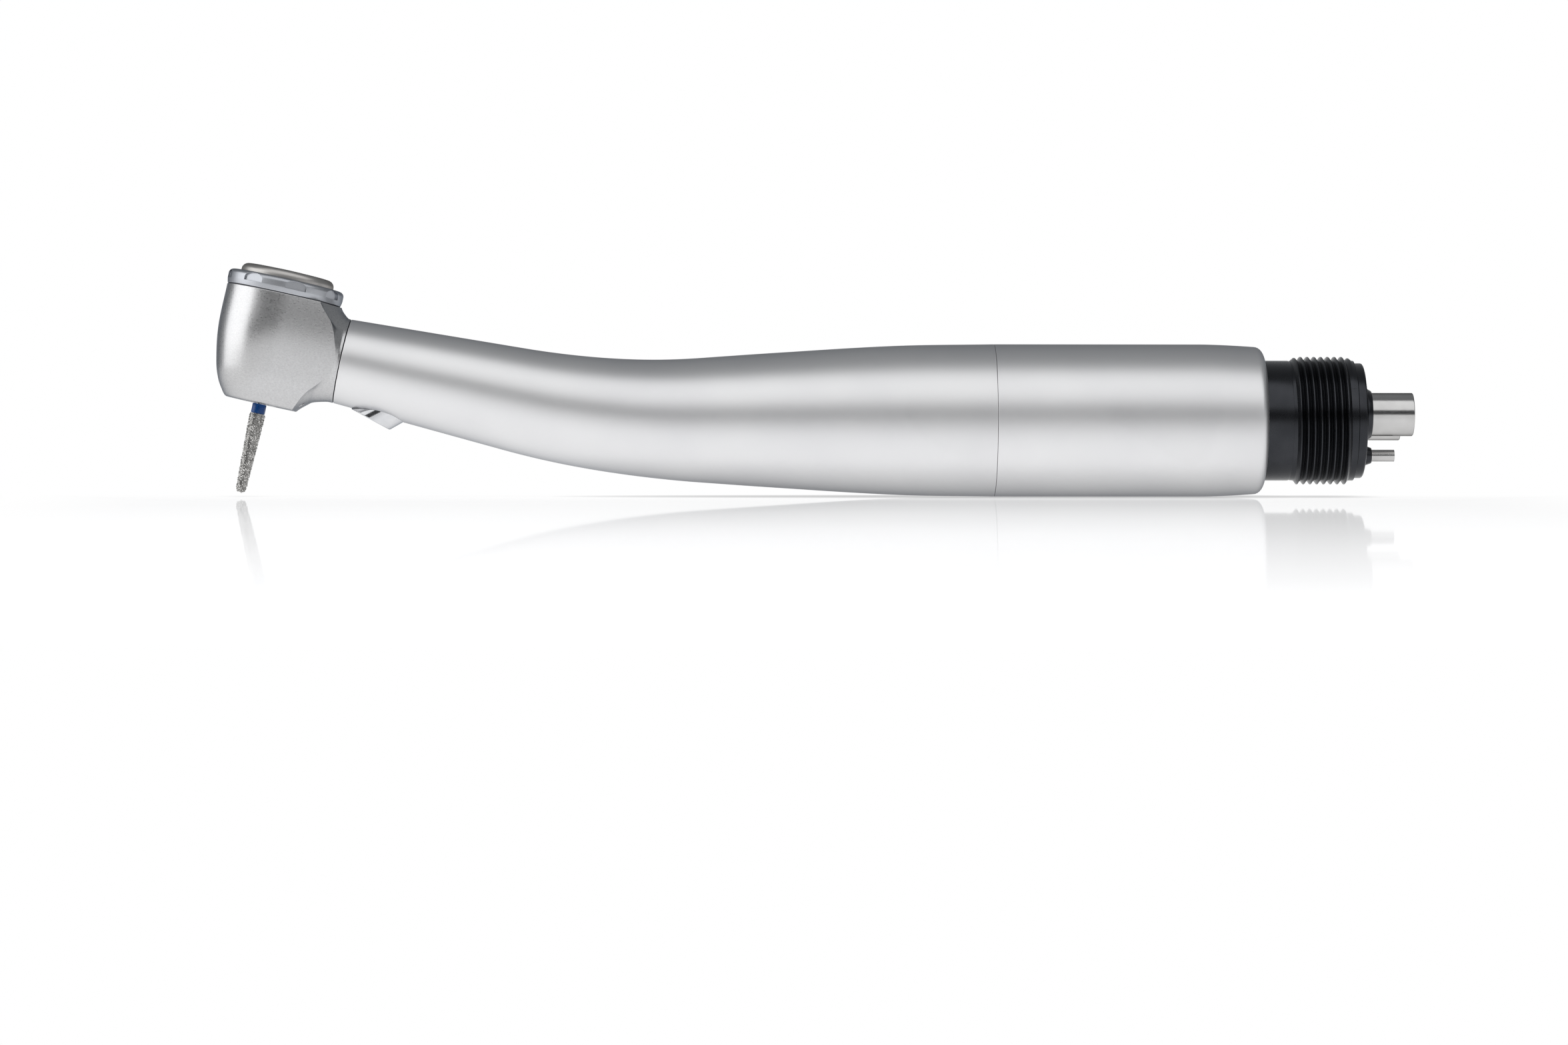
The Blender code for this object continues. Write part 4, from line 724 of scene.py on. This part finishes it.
def makeCap():
    shape = cap
    rim, seam = shape["radius"], shape["seam"]
    points = [(shape["seat"], shape["skirtEnd"], 0), (shape["skirt"], shape["skirtEnd"], shape["skirtEdge"]),
              (shape["skirt"], seam, 0), (rim - shape["seamIn"], seam, shape["seamEdge"]),
              (rim, seam + shape["bevel"], shape["bevelEdge"]), (rim, shape["top"], shape["round"]),
              (shape["opening"], shape["top"], shape["openingEdge"]), (shape["opening"], shape["floor"], 0),
              (shape["webHole"], shape["floor"], shape["webEdge"]), (shape["webHole"], shape["webUnder"], 0),
              (shape["seat"], shape["webUnder"], 0)]
    tools = []
    for k in range(flats["count"]):
        cutter = flatCutter()
        turn = Matrix.Rotation(math.radians(flats["phase"] + 360 * k / flats["count"]), 3, "Z")
        bmesh.ops.rotate(cutter, matrix=turn, cent=(0, 0, 0), verts=cutter.verts)
        tools.append(("DIFFERENCE", cutter))
    mesh = carve(lathe(roundCorners(points, shape["roundSteps"]), shape["sides"]), tools)
    makePiece("headCap", mesh, headPlace, finish("capSteel", capSteel), "handpiece",
              ["head_cap"])


makeCap()
print("cap done")


# push button and the spring under it

button = {"radius": 4.65, "top": 13.49, "dome": 0.15, "domeStart": 0.04, "domeSteps": 7, "edge": 0.65,
          "skirt": 11.7, "skirtEdge": 0.05, "stem": 1.1, "stemEnd": 10.9, "stemEdge": 0.15,
          "stemRoot": 0.1, "pocket": 12.75, "pocketInner": 2.55, "pocketOuter": 4.05, "roundSteps": 8,
          "sides": 160}
buttonSteel = {"pale": (0.50, 0.485, 0.47), "deep": (0.44, 0.43, 0.415), "rim": (0.22, 0.22, 0.22),
               "rough": (0.34, 0.42), "grain": 0.06, "bump": 0.08, "patch": 4.0, "edge": 0.03}
spring = {"radius": 3.3, "wire": 0.125, "turns": 2.5, "low": 11.275, "high": 12.575, "floor": 11.1,
          "steps": 240, "sides": 14, "keep": 0.68}
springSteel = {"pale": (0.62, 0.62, 0.63), "deep": (0.50, 0.50, 0.52), "rough": (0.2, 0.3), "grain": 0.03,
               "bump": 0.05}


def makeButton():
    shape = button
    shoulder = shape["top"] - shape["dome"]
    skirt, pocket = shape["skirt"], shape["pocket"]
    points = [(0, shape["stemEnd"], 0), (shape["stem"], shape["stemEnd"], shape["stemEdge"]),
              (shape["stem"], skirt, shape["stemRoot"]), (shape["pocketInner"], skirt, 0),
              (shape["pocketInner"], pocket, 0), (shape["pocketOuter"], pocket, 0),
              (shape["pocketOuter"], skirt, 0), (shape["radius"], skirt, shape["skirtEdge"]),
              (shape["radius"], shoulder, shape["edge"])]
    inner, start = shape["radius"] - 2 * shape["edge"], shape["domeStart"]
    for k in range(shape["domeSteps"] + 1):
        share = k / shape["domeSteps"]
        rise = start + (shape["dome"] - start) * (1 - (1 - share) ** 2)
        points.append((inner * (1 - share), shoulder + rise, 0))
    makePiece("pushButton", lathe(roundCorners(points, shape["roundSteps"]), shape["sides"]), headPlace,
              finish("buttonSteel", buttonSteel), "button", ["push_button"])


def makeSpring():
    rings = []
    wire, step = spring["wire"], 2 * math.pi / spring["sides"]
    for k in range(spring["steps"] + 1):
        share = k / spring["steps"]
        angle = 2 * math.pi * spring["turns"] * share
        out = Vector((math.cos(angle), math.sin(angle), 0))
        height = spring["low"] + (spring["high"] - spring["low"]) * share
        middle = spring["radius"] * out + Vector((0, 0, height))
        rings.append([middle + wire * (math.cos(step * i) * out + Vector((0, 0, math.sin(step * i))))
                      for i in range(spring["sides"])])
    piece = makePiece("buttonSpring", skinRings(rings, closed=False), headPlace,
                      finish("springSteel", springSteel), "handpiece", ["button_spring"])
    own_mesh(piece)


makeButton()
makeSpring()
print("button done")


# bur: shank, blue band and the diamond end

bur = {"shank": 0.8, "shankEdge": 0.12, "shankTop": 7.9, "topEdge": 0.15, "neck": 0.42, "neckSink": 0.55,
       "neckGap": 0.02, "bandRadius": 0.70, "bandTop": -0.05, "bandEnd": -1.03, "bandEdge": 0.1,
       "diamondTop": -1.05, "topRadius": 0.78, "tipRadius": 0.50, "tip": burTip, "sides": 64}
core = {"levels": 30, "levelPower": 1.6, "leastRadius": 0.05, "socket": 0.6, "sides": 48}
grit = {"count": 2000, "small": 0.06, "large": 0.11, "sink": 0.03, "uneven": (0.7, 1.15),
        "crowding": 0.9, "leastReach": 0.02, "crispAngle": 20}
burSteel = {"pale": (0.74, 0.74, 0.75), "deep": (0.66, 0.66, 0.67), "rough": (0.14, 0.22), "grain": 0.04,
            "stretch": (0.3, 0.3, 3), "bump": 0.04}
bandPaint = {"pale": (0.004, 0.115, 0.46), "deep": (0.003, 0.085, 0.36), "rough": (0.24, 0.36), "grain": 0.08,
             "bump": 0.05, "metal": 0.0, "shine": 0.35, "coat": 0.15}
gritLook = {"dark": (0.30, 0.295, 0.285), "light": (0.94, 0.93, 0.91), "rough": (0.16, 0.34),
            "grain": 0.05, "metal": 0.85}


def diamondRadius(height):  # a slim cone with a rounded tip
    shape = bur
    coneEnd = shape["tip"] + shape["tipRadius"]
    if height < coneEnd:
        return math.sqrt(max(shape["tipRadius"] ** 2 - (coneEnd - height) ** 2, 0))
    share = (height - coneEnd) / (shape["diamondTop"] - coneEnd)
    return shape["tipRadius"] + share * (shape["topRadius"] - shape["tipRadius"])


def gritMaterial():
    material, tree, shader = newFinish("diamondGrit")
    island = tree.nodes.new("ShaderNodeNewGeometry")
    tint = tintBetween(tree, island.outputs["Random Per Island"], gritLook["dark"], gritLook["light"])
    tree.links.new(tint, shader.inputs["Base Color"])
    haze = spread(tree, noiseAt(tree, gritLook["grain"]), noiseSpan["value"], *gritLook["rough"])
    tree.links.new(haze, shader.inputs["Roughness"])
    shader.inputs["Metallic"].default_value = gritLook["metal"]
    return material


def addCrystal(mesh, spot, size):
    angle = dice.uniform(0, math.pi)
    turn = Matrix.Rotation(angle, 3, Vector([dice.gauss(0, 1) for _ in range(3)]).normalized())
    corners = []
    for axis in range(3):
        for side in (-1, 1):
            arm = Vector((0, 0, 0))
            arm[axis] = side * size * dice.uniform(*grit["uneven"])
            corners.append(mesh.verts.new(spot + turn @ arm))
    for a in (0, 1):
        for b in (2, 3):
            for c in (4, 5):
                order = (corners[a], corners[b], corners[c])
                mesh.faces.new(order if (a + b + c) % 2 == 1 else order[::-1])


def makeBur():
    shape = bur
    shank, neck = shape["shank"], shape["neck"]
    rodEnd = shape["diamondTop"] - shape["neckSink"]
    points = [(0, rodEnd, 0), (neck, rodEnd, 0), (neck, 0, 0), (shank, 0, shape["shankEdge"]),
              (shank, shape["shankTop"], shape["topEdge"]), (0, shape["shankTop"], 0)]
    makePiece("burShank", lathe(roundCorners(points), shape["sides"]), headPlace,
              finish("burSteel", burSteel), "bur", ["bur_shank"])
    socket, edge = neck + shape["neckGap"], shape["bandEdge"]
    points = [(socket, shape["bandEnd"], 0), (shape["bandRadius"], shape["bandEnd"], edge),
              (shape["bandRadius"], shape["bandTop"], edge), (socket, shape["bandTop"], 0)]
    makePiece("burBand", lathe(roundCorners(points), shape["sides"]), headPlace,
              finish("bandPaint", bandPaint), "bur", ["bur_band"])

    low, high = shape["tip"] + grit["large"] / 2, shape["diamondTop"]
    profile = [(0, low)]
    for k in range(1, core["levels"] + 1):
        height = low + (high - low) * (k / core["levels"]) ** core["levelPower"]
        profile.append((max(diamondRadius(height) - grit["sink"], core["leastRadius"]), height))
    profile += [(socket, high), (socket, high - core["socket"]), (0, high - core["socket"])]
    mesh = lathe(profile, core["sides"])
    for _ in range(grit["count"]):
        height = low + (high - grit["large"] - low) * dice.random() ** grit["crowding"]
        angle = dice.uniform(0, 2 * math.pi)
        size = dice.uniform(grit["small"], grit["large"])
        reach = max(diamondRadius(height) - grit["sink"], grit["leastReach"])
        addCrystal(mesh, Vector((reach * math.cos(angle), reach * math.sin(angle), height)), size)
    makePiece("burDiamond", mesh, headPlace, gritMaterial(), "bur", ["bur_diamond"],
              grit["crispAngle"])


makeBur()
print("bur done")


# inside parts keep their own shape and get a finish for each material slot

insideLooks = {
    "tube_steel": tubeSteel,
    "led_board": {"pale": (0.82, 0.82, 0.78), "deep": (0.70, 0.70, 0.66), "rough": (0.35, 0.5),
                  "grain": 0.2, "metal": 0.0},
    "wire_red": {"pale": (0.55, 0.03, 0.025), "deep": (0.45, 0.02, 0.02), "rough": (0.4, 0.5),
                 "grain": 0.3, "metal": 0.0},
    "wire_black": {"pale": (0.03, 0.03, 0.032), "deep": (0.02, 0.02, 0.021), "rough": (0.4, 0.5),
                   "grain": 0.3, "metal": 0.0},
    "bearing_steel": {"pale": (0.72, 0.72, 0.73), "deep": (0.64, 0.64, 0.66), "rough": (0.1, 0.18),
                      "grain": 0.08},
    "chuck_steel": {"pale": (0.62, 0.61, 0.60), "deep": (0.54, 0.53, 0.52), "rough": (0.2, 0.3),
                    "grain": 0.06},
    "cage_resin": {"pale": (0.30, 0.17, 0.07), "deep": (0.24, 0.13, 0.05), "rough": (0.45, 0.55),
                   "grain": 0.1, "metal": 0.0},
    "seal_rubber": {"pale": (0.030, 0.030, 0.032), "deep": (0.018, 0.018, 0.02), "rough": (0.5, 0.65),
                    "grain": 0.1, "metal": 0.0},
    "spring_steel": springSteel,
    "light_alloy": {"pale": (0.78, 0.79, 0.80), "deep": (0.70, 0.71, 0.72), "rough": (0.28, 0.38),
                    "grain": 0.08},
    "coil_copper": {"pale": (0.80, 0.36, 0.18), "deep": (0.62, 0.25, 0.11), "rough": (0.25, 0.4),
                    "grain": 0.12, "stretch": (6, 0.5, 0.5), "bump": 0.5},
    "magnet_grey": {"pale": (0.26, 0.26, 0.28), "deep": (0.20, 0.20, 0.21), "rough": (0.35, 0.5),
                    "grain": 0.1},
    "plate_resin": {"pale": (0.74, 0.73, 0.69), "deep": (0.66, 0.65, 0.61), "rough": (0.4, 0.5),
                    "grain": 0.15, "metal": 0.0},
}


def paintInside():
    ready = {slotName: finish("inside." + slotName, look) for slotName, look in insideLooks.items()}
    for part in frame["record"]["subparts"]:
        if part["material_slot"] in ready:
            frame["nodes"][part["node"]].material_slots[0].material = ready[part["material_slot"]]
    return len(ready)


print("inside finishes:", paintInside())


# white studio: floor, lamps, sky and camera

# height, middle, patch and shade are in millimetres, the other lengths of the floor in metres
floorLook = {"height": -7.58, "middle": -55, "tilt": 2.4, "size": 4.0, "back": 0.06,
             "pale": (0.64, 0.64, 0.645), "deep": (0.62, 0.62, 0.625), "patch": 60.0, "gloss": 0.58,
             "glossSpan": (-0.30, -0.03), "rough": 0.03, "lift": 0.69, "shade": 3.5, "shadeDepth": 0.45,
             "shadeSamples": 12, "behind": (-0.02, 0.01), "beside": (0.058, 0.08), "fadeMiddle": -0.10,
             "fade": (0.10, 0.19)}
lamps = {"key": {"place": (-60, -257, 306), "aim": (-55, 0, 0), "size": (1300, 430), "watts": 1.80},
         "left": {"place": (-420, -30, 60), "aim": (-110, 0, 0), "size": (330, 300), "watts": 0.53}}
sky = {"front": 0.05, "back": 0.36, "white": 1.0, "whiteTop": (0.16, 0.34), "whiteSide": (0.80, 0.95),
       "tint": (0.94, 0.97, 1.0)}
cameraLook = {"place": (-71.0, -565.0, -16.2), "aim": (-57.52, 0.0, -10.16), "lens": 130.62,
              "sensor": 36.0, "clip": (0.01, 20.0)}


def mathNode(tree, operation, first, second):
    node = tree.nodes.new("ShaderNodeMath")
    node.operation = operation
    for socket, value in zip(node.inputs, (first, second)):
        if isinstance(value, (int, float)):
            socket.default_value = value
        else:
            tree.links.new(value, socket)
    return node.outputs[0]


def mixShaders(tree, share, first, second):
    node = tree.nodes.new("ShaderNodeMixShader")
    for socket, value in zip(node.inputs, (share, first.outputs[0], second.outputs[0])):
        tree.links.new(value, socket)
    return node


def softStep(tree, value, span):
    return spread(tree, value, span, kind="SMOOTHSTEP")


def seenRays(tree):  # camera, mirror and glass rays see the white
    path = tree.nodes.new("ShaderNodeLightPath")
    seen = mathNode(tree, "ADD", path.outputs["Is Camera Ray"], path.outputs["Is Glossy Ray"])
    seen = mathNode(tree, "ADD", seen, path.outputs["Is Transmission Ray"])
    return mathNode(tree, "MINIMUM", seen, 1.0)


def makeFloor():
    look = floorLook
    material, tree, shader = newFinish("studioFloor")
    tree.nodes.remove(shader)
    link = tree.links.new
    matte = tree.nodes.new("ShaderNodeBsdfDiffuse")
    tint = tintBetween(tree, noiseAt(tree, look["patch"]), look["deep"], look["pale"])
    link(tint, matte.inputs["Color"])
    shade = tree.nodes.new("ShaderNodeAmbientOcclusion")  # painted contact shadow: ambient occlusion darkens the lift's glow near the object
    shade.samples = look["shadeSamples"]
    shade.inputs["Distance"].default_value = look["shade"] * mm
    shaded = mathNode(tree, "MULTIPLY", shade.outputs["AO"], look["shadeDepth"])
    shaded = mathNode(tree, "ADD", shaded, 1 - look["shadeDepth"])
    level = mathNode(tree, "MULTIPLY", seenRays(tree), shaded)
    lift = tree.nodes.new("ShaderNodeEmission")
    link(mathNode(tree, "MULTIPLY", level, look["lift"]), lift.inputs["Strength"])
    pale = tree.nodes.new("ShaderNodeAddShader")
    link(matte.outputs[0], pale.inputs[0])
    link(lift.outputs[0], pale.inputs[1])

    gloss = tree.nodes.new("ShaderNodeBsdfGlossy")
    gloss.inputs["Roughness"].default_value = look["rough"]
    coords = tree.nodes.new("ShaderNodeTexCoord")
    split = tree.nodes.new("ShaderNodeSeparateXYZ")
    link(coords.outputs["Object"], split.inputs[0])
    polish = spread(tree, split.outputs["Y"], look["glossSpan"], high=look["gloss"])  # less at the front
    grazing = tree.nodes.new("ShaderNodeFresnel")
    near = mixShaders(tree, mathNode(tree, "MULTIPLY", polish, grazing.outputs[0]), pale, gloss)

    white = tree.nodes.new("ShaderNodeEmission")  # the floor runs out into plain white
    link(level, white.inputs["Strength"])
    distance = tree.nodes.new("ShaderNodeVectorMath")
    distance.operation = "DISTANCE"
    distance.inputs[1].default_value = (0, look["fadeMiddle"], 0)
    link(coords.outputs["Object"], distance.inputs[0])
    fade = softStep(tree, distance.outputs["Value"], look["fade"])
    behind = softStep(tree, split.outputs["Y"], look["behind"])
    beside = softStep(tree, mathNode(tree, "ABSOLUTE", split.outputs["X"], 0.0), look["beside"])
    fade = mathNode(tree, "MAXIMUM", fade, mathNode(tree, "MAXIMUM", behind, beside))
    whole = mixShaders(tree, fade, near, white)
    link(whole.outputs[0], tree.nodes["Material Output"].inputs["Surface"])

    half, back = look["size"] / 2, look["back"]
    tilt = math.radians(look["tilt"])
    drop = (half - back) * math.tan(2 * tilt)  # behind the object the sheet slopes down again
    mesh = bmesh.new()
    rows = [[mesh.verts.new((side * half, y, z)) for side in (-1, 1)]
            for y, z in ((-half, 0), (back, 0), (half, -drop))]
    for (a, b), (d, c) in zip(rows, rows[1:]):
        mesh.faces.new((a, b, c, d))
    item = addObject("studioFloor", meshData("studioFloor", mesh, material))
    item.location = Vector((look["middle"] * mm, 0, look["height"] * mm / math.cos(tilt)))
    item.rotation_euler = (tilt, 0, 0)


def aimAt(item, look):
    place, aim = Vector(look["place"]), Vector(look["aim"])
    item.location = place * mm
    item.rotation_euler = (aim - place).to_track_quat("-Z", "Y").to_euler()


def makeLamps():
    for name, look in lamps.items():
        data = bpy.data.lights.new(name, "AREA")
        data.shape = "RECTANGLE"
        data.size, data.size_y = look["size"][0] * mm, look["size"][1] * mm
        data.energy = look["watts"]
        aimAt(addObject(name, data), look)


def makeSky():  # white low behind the object, grey above and towards the front
    world = bpy.data.worlds.new("studioSky")
    scene.world = world
    world.use_nodes = True
    tree = world.node_tree
    background = tree.nodes["Background"]
    coords = tree.nodes.new("ShaderNodeTexCoord")
    split = tree.nodes.new("ShaderNodeSeparateXYZ")
    tree.links.new(coords.outputs["Generated"], split.inputs[0])
    tall = mathNode(tree, "ABSOLUTE", split.outputs["Z"], 0.0)
    low = mathNode(tree, "SUBTRACT", 1.0, softStep(tree, tall, sky["whiteTop"]))
    behind = softStep(tree, split.outputs["Y"], sky["whiteSide"])
    white = mathNode(tree, "MULTIPLY", mathNode(tree, "MULTIPLY", low, behind), seenRays(tree))
    grey = spread(tree, split.outputs["Y"], (-1, 1), sky["front"], sky["back"])
    rest = mathNode(tree, "SUBTRACT", 1.0, white)
    level = mathNode(tree, "ADD", mathNode(tree, "MULTIPLY", grey, rest),
                     mathNode(tree, "MULTIPLY", white, sky["white"]))
    tree.links.new(level, background.inputs["Strength"])
    tint = tree.nodes.new("ShaderNodeMix")
    tint.data_type = "RGBA"
    setInputs(tint, {"A": (*sky["tint"], 1), "B": (1, 1, 1, 1)})
    tree.links.new(white, tint.inputs["Factor"])
    tree.links.new(tint.outputs["Result"], background.inputs["Color"])


def makeCamera():
    data = bpy.data.cameras.new("photoCamera")
    data.lens, data.sensor_width = cameraLook["lens"], cameraLook["sensor"]
    data.clip_start, data.clip_end = cameraLook["clip"]
    scene.camera = addObject("photoCamera", data)
    aimAt(scene.camera, cameraLook)


makeFloor()
makeLamps()
makeSky()
makeCamera()
scene.view_settings.view_transform = "Standard"
print("studio done")
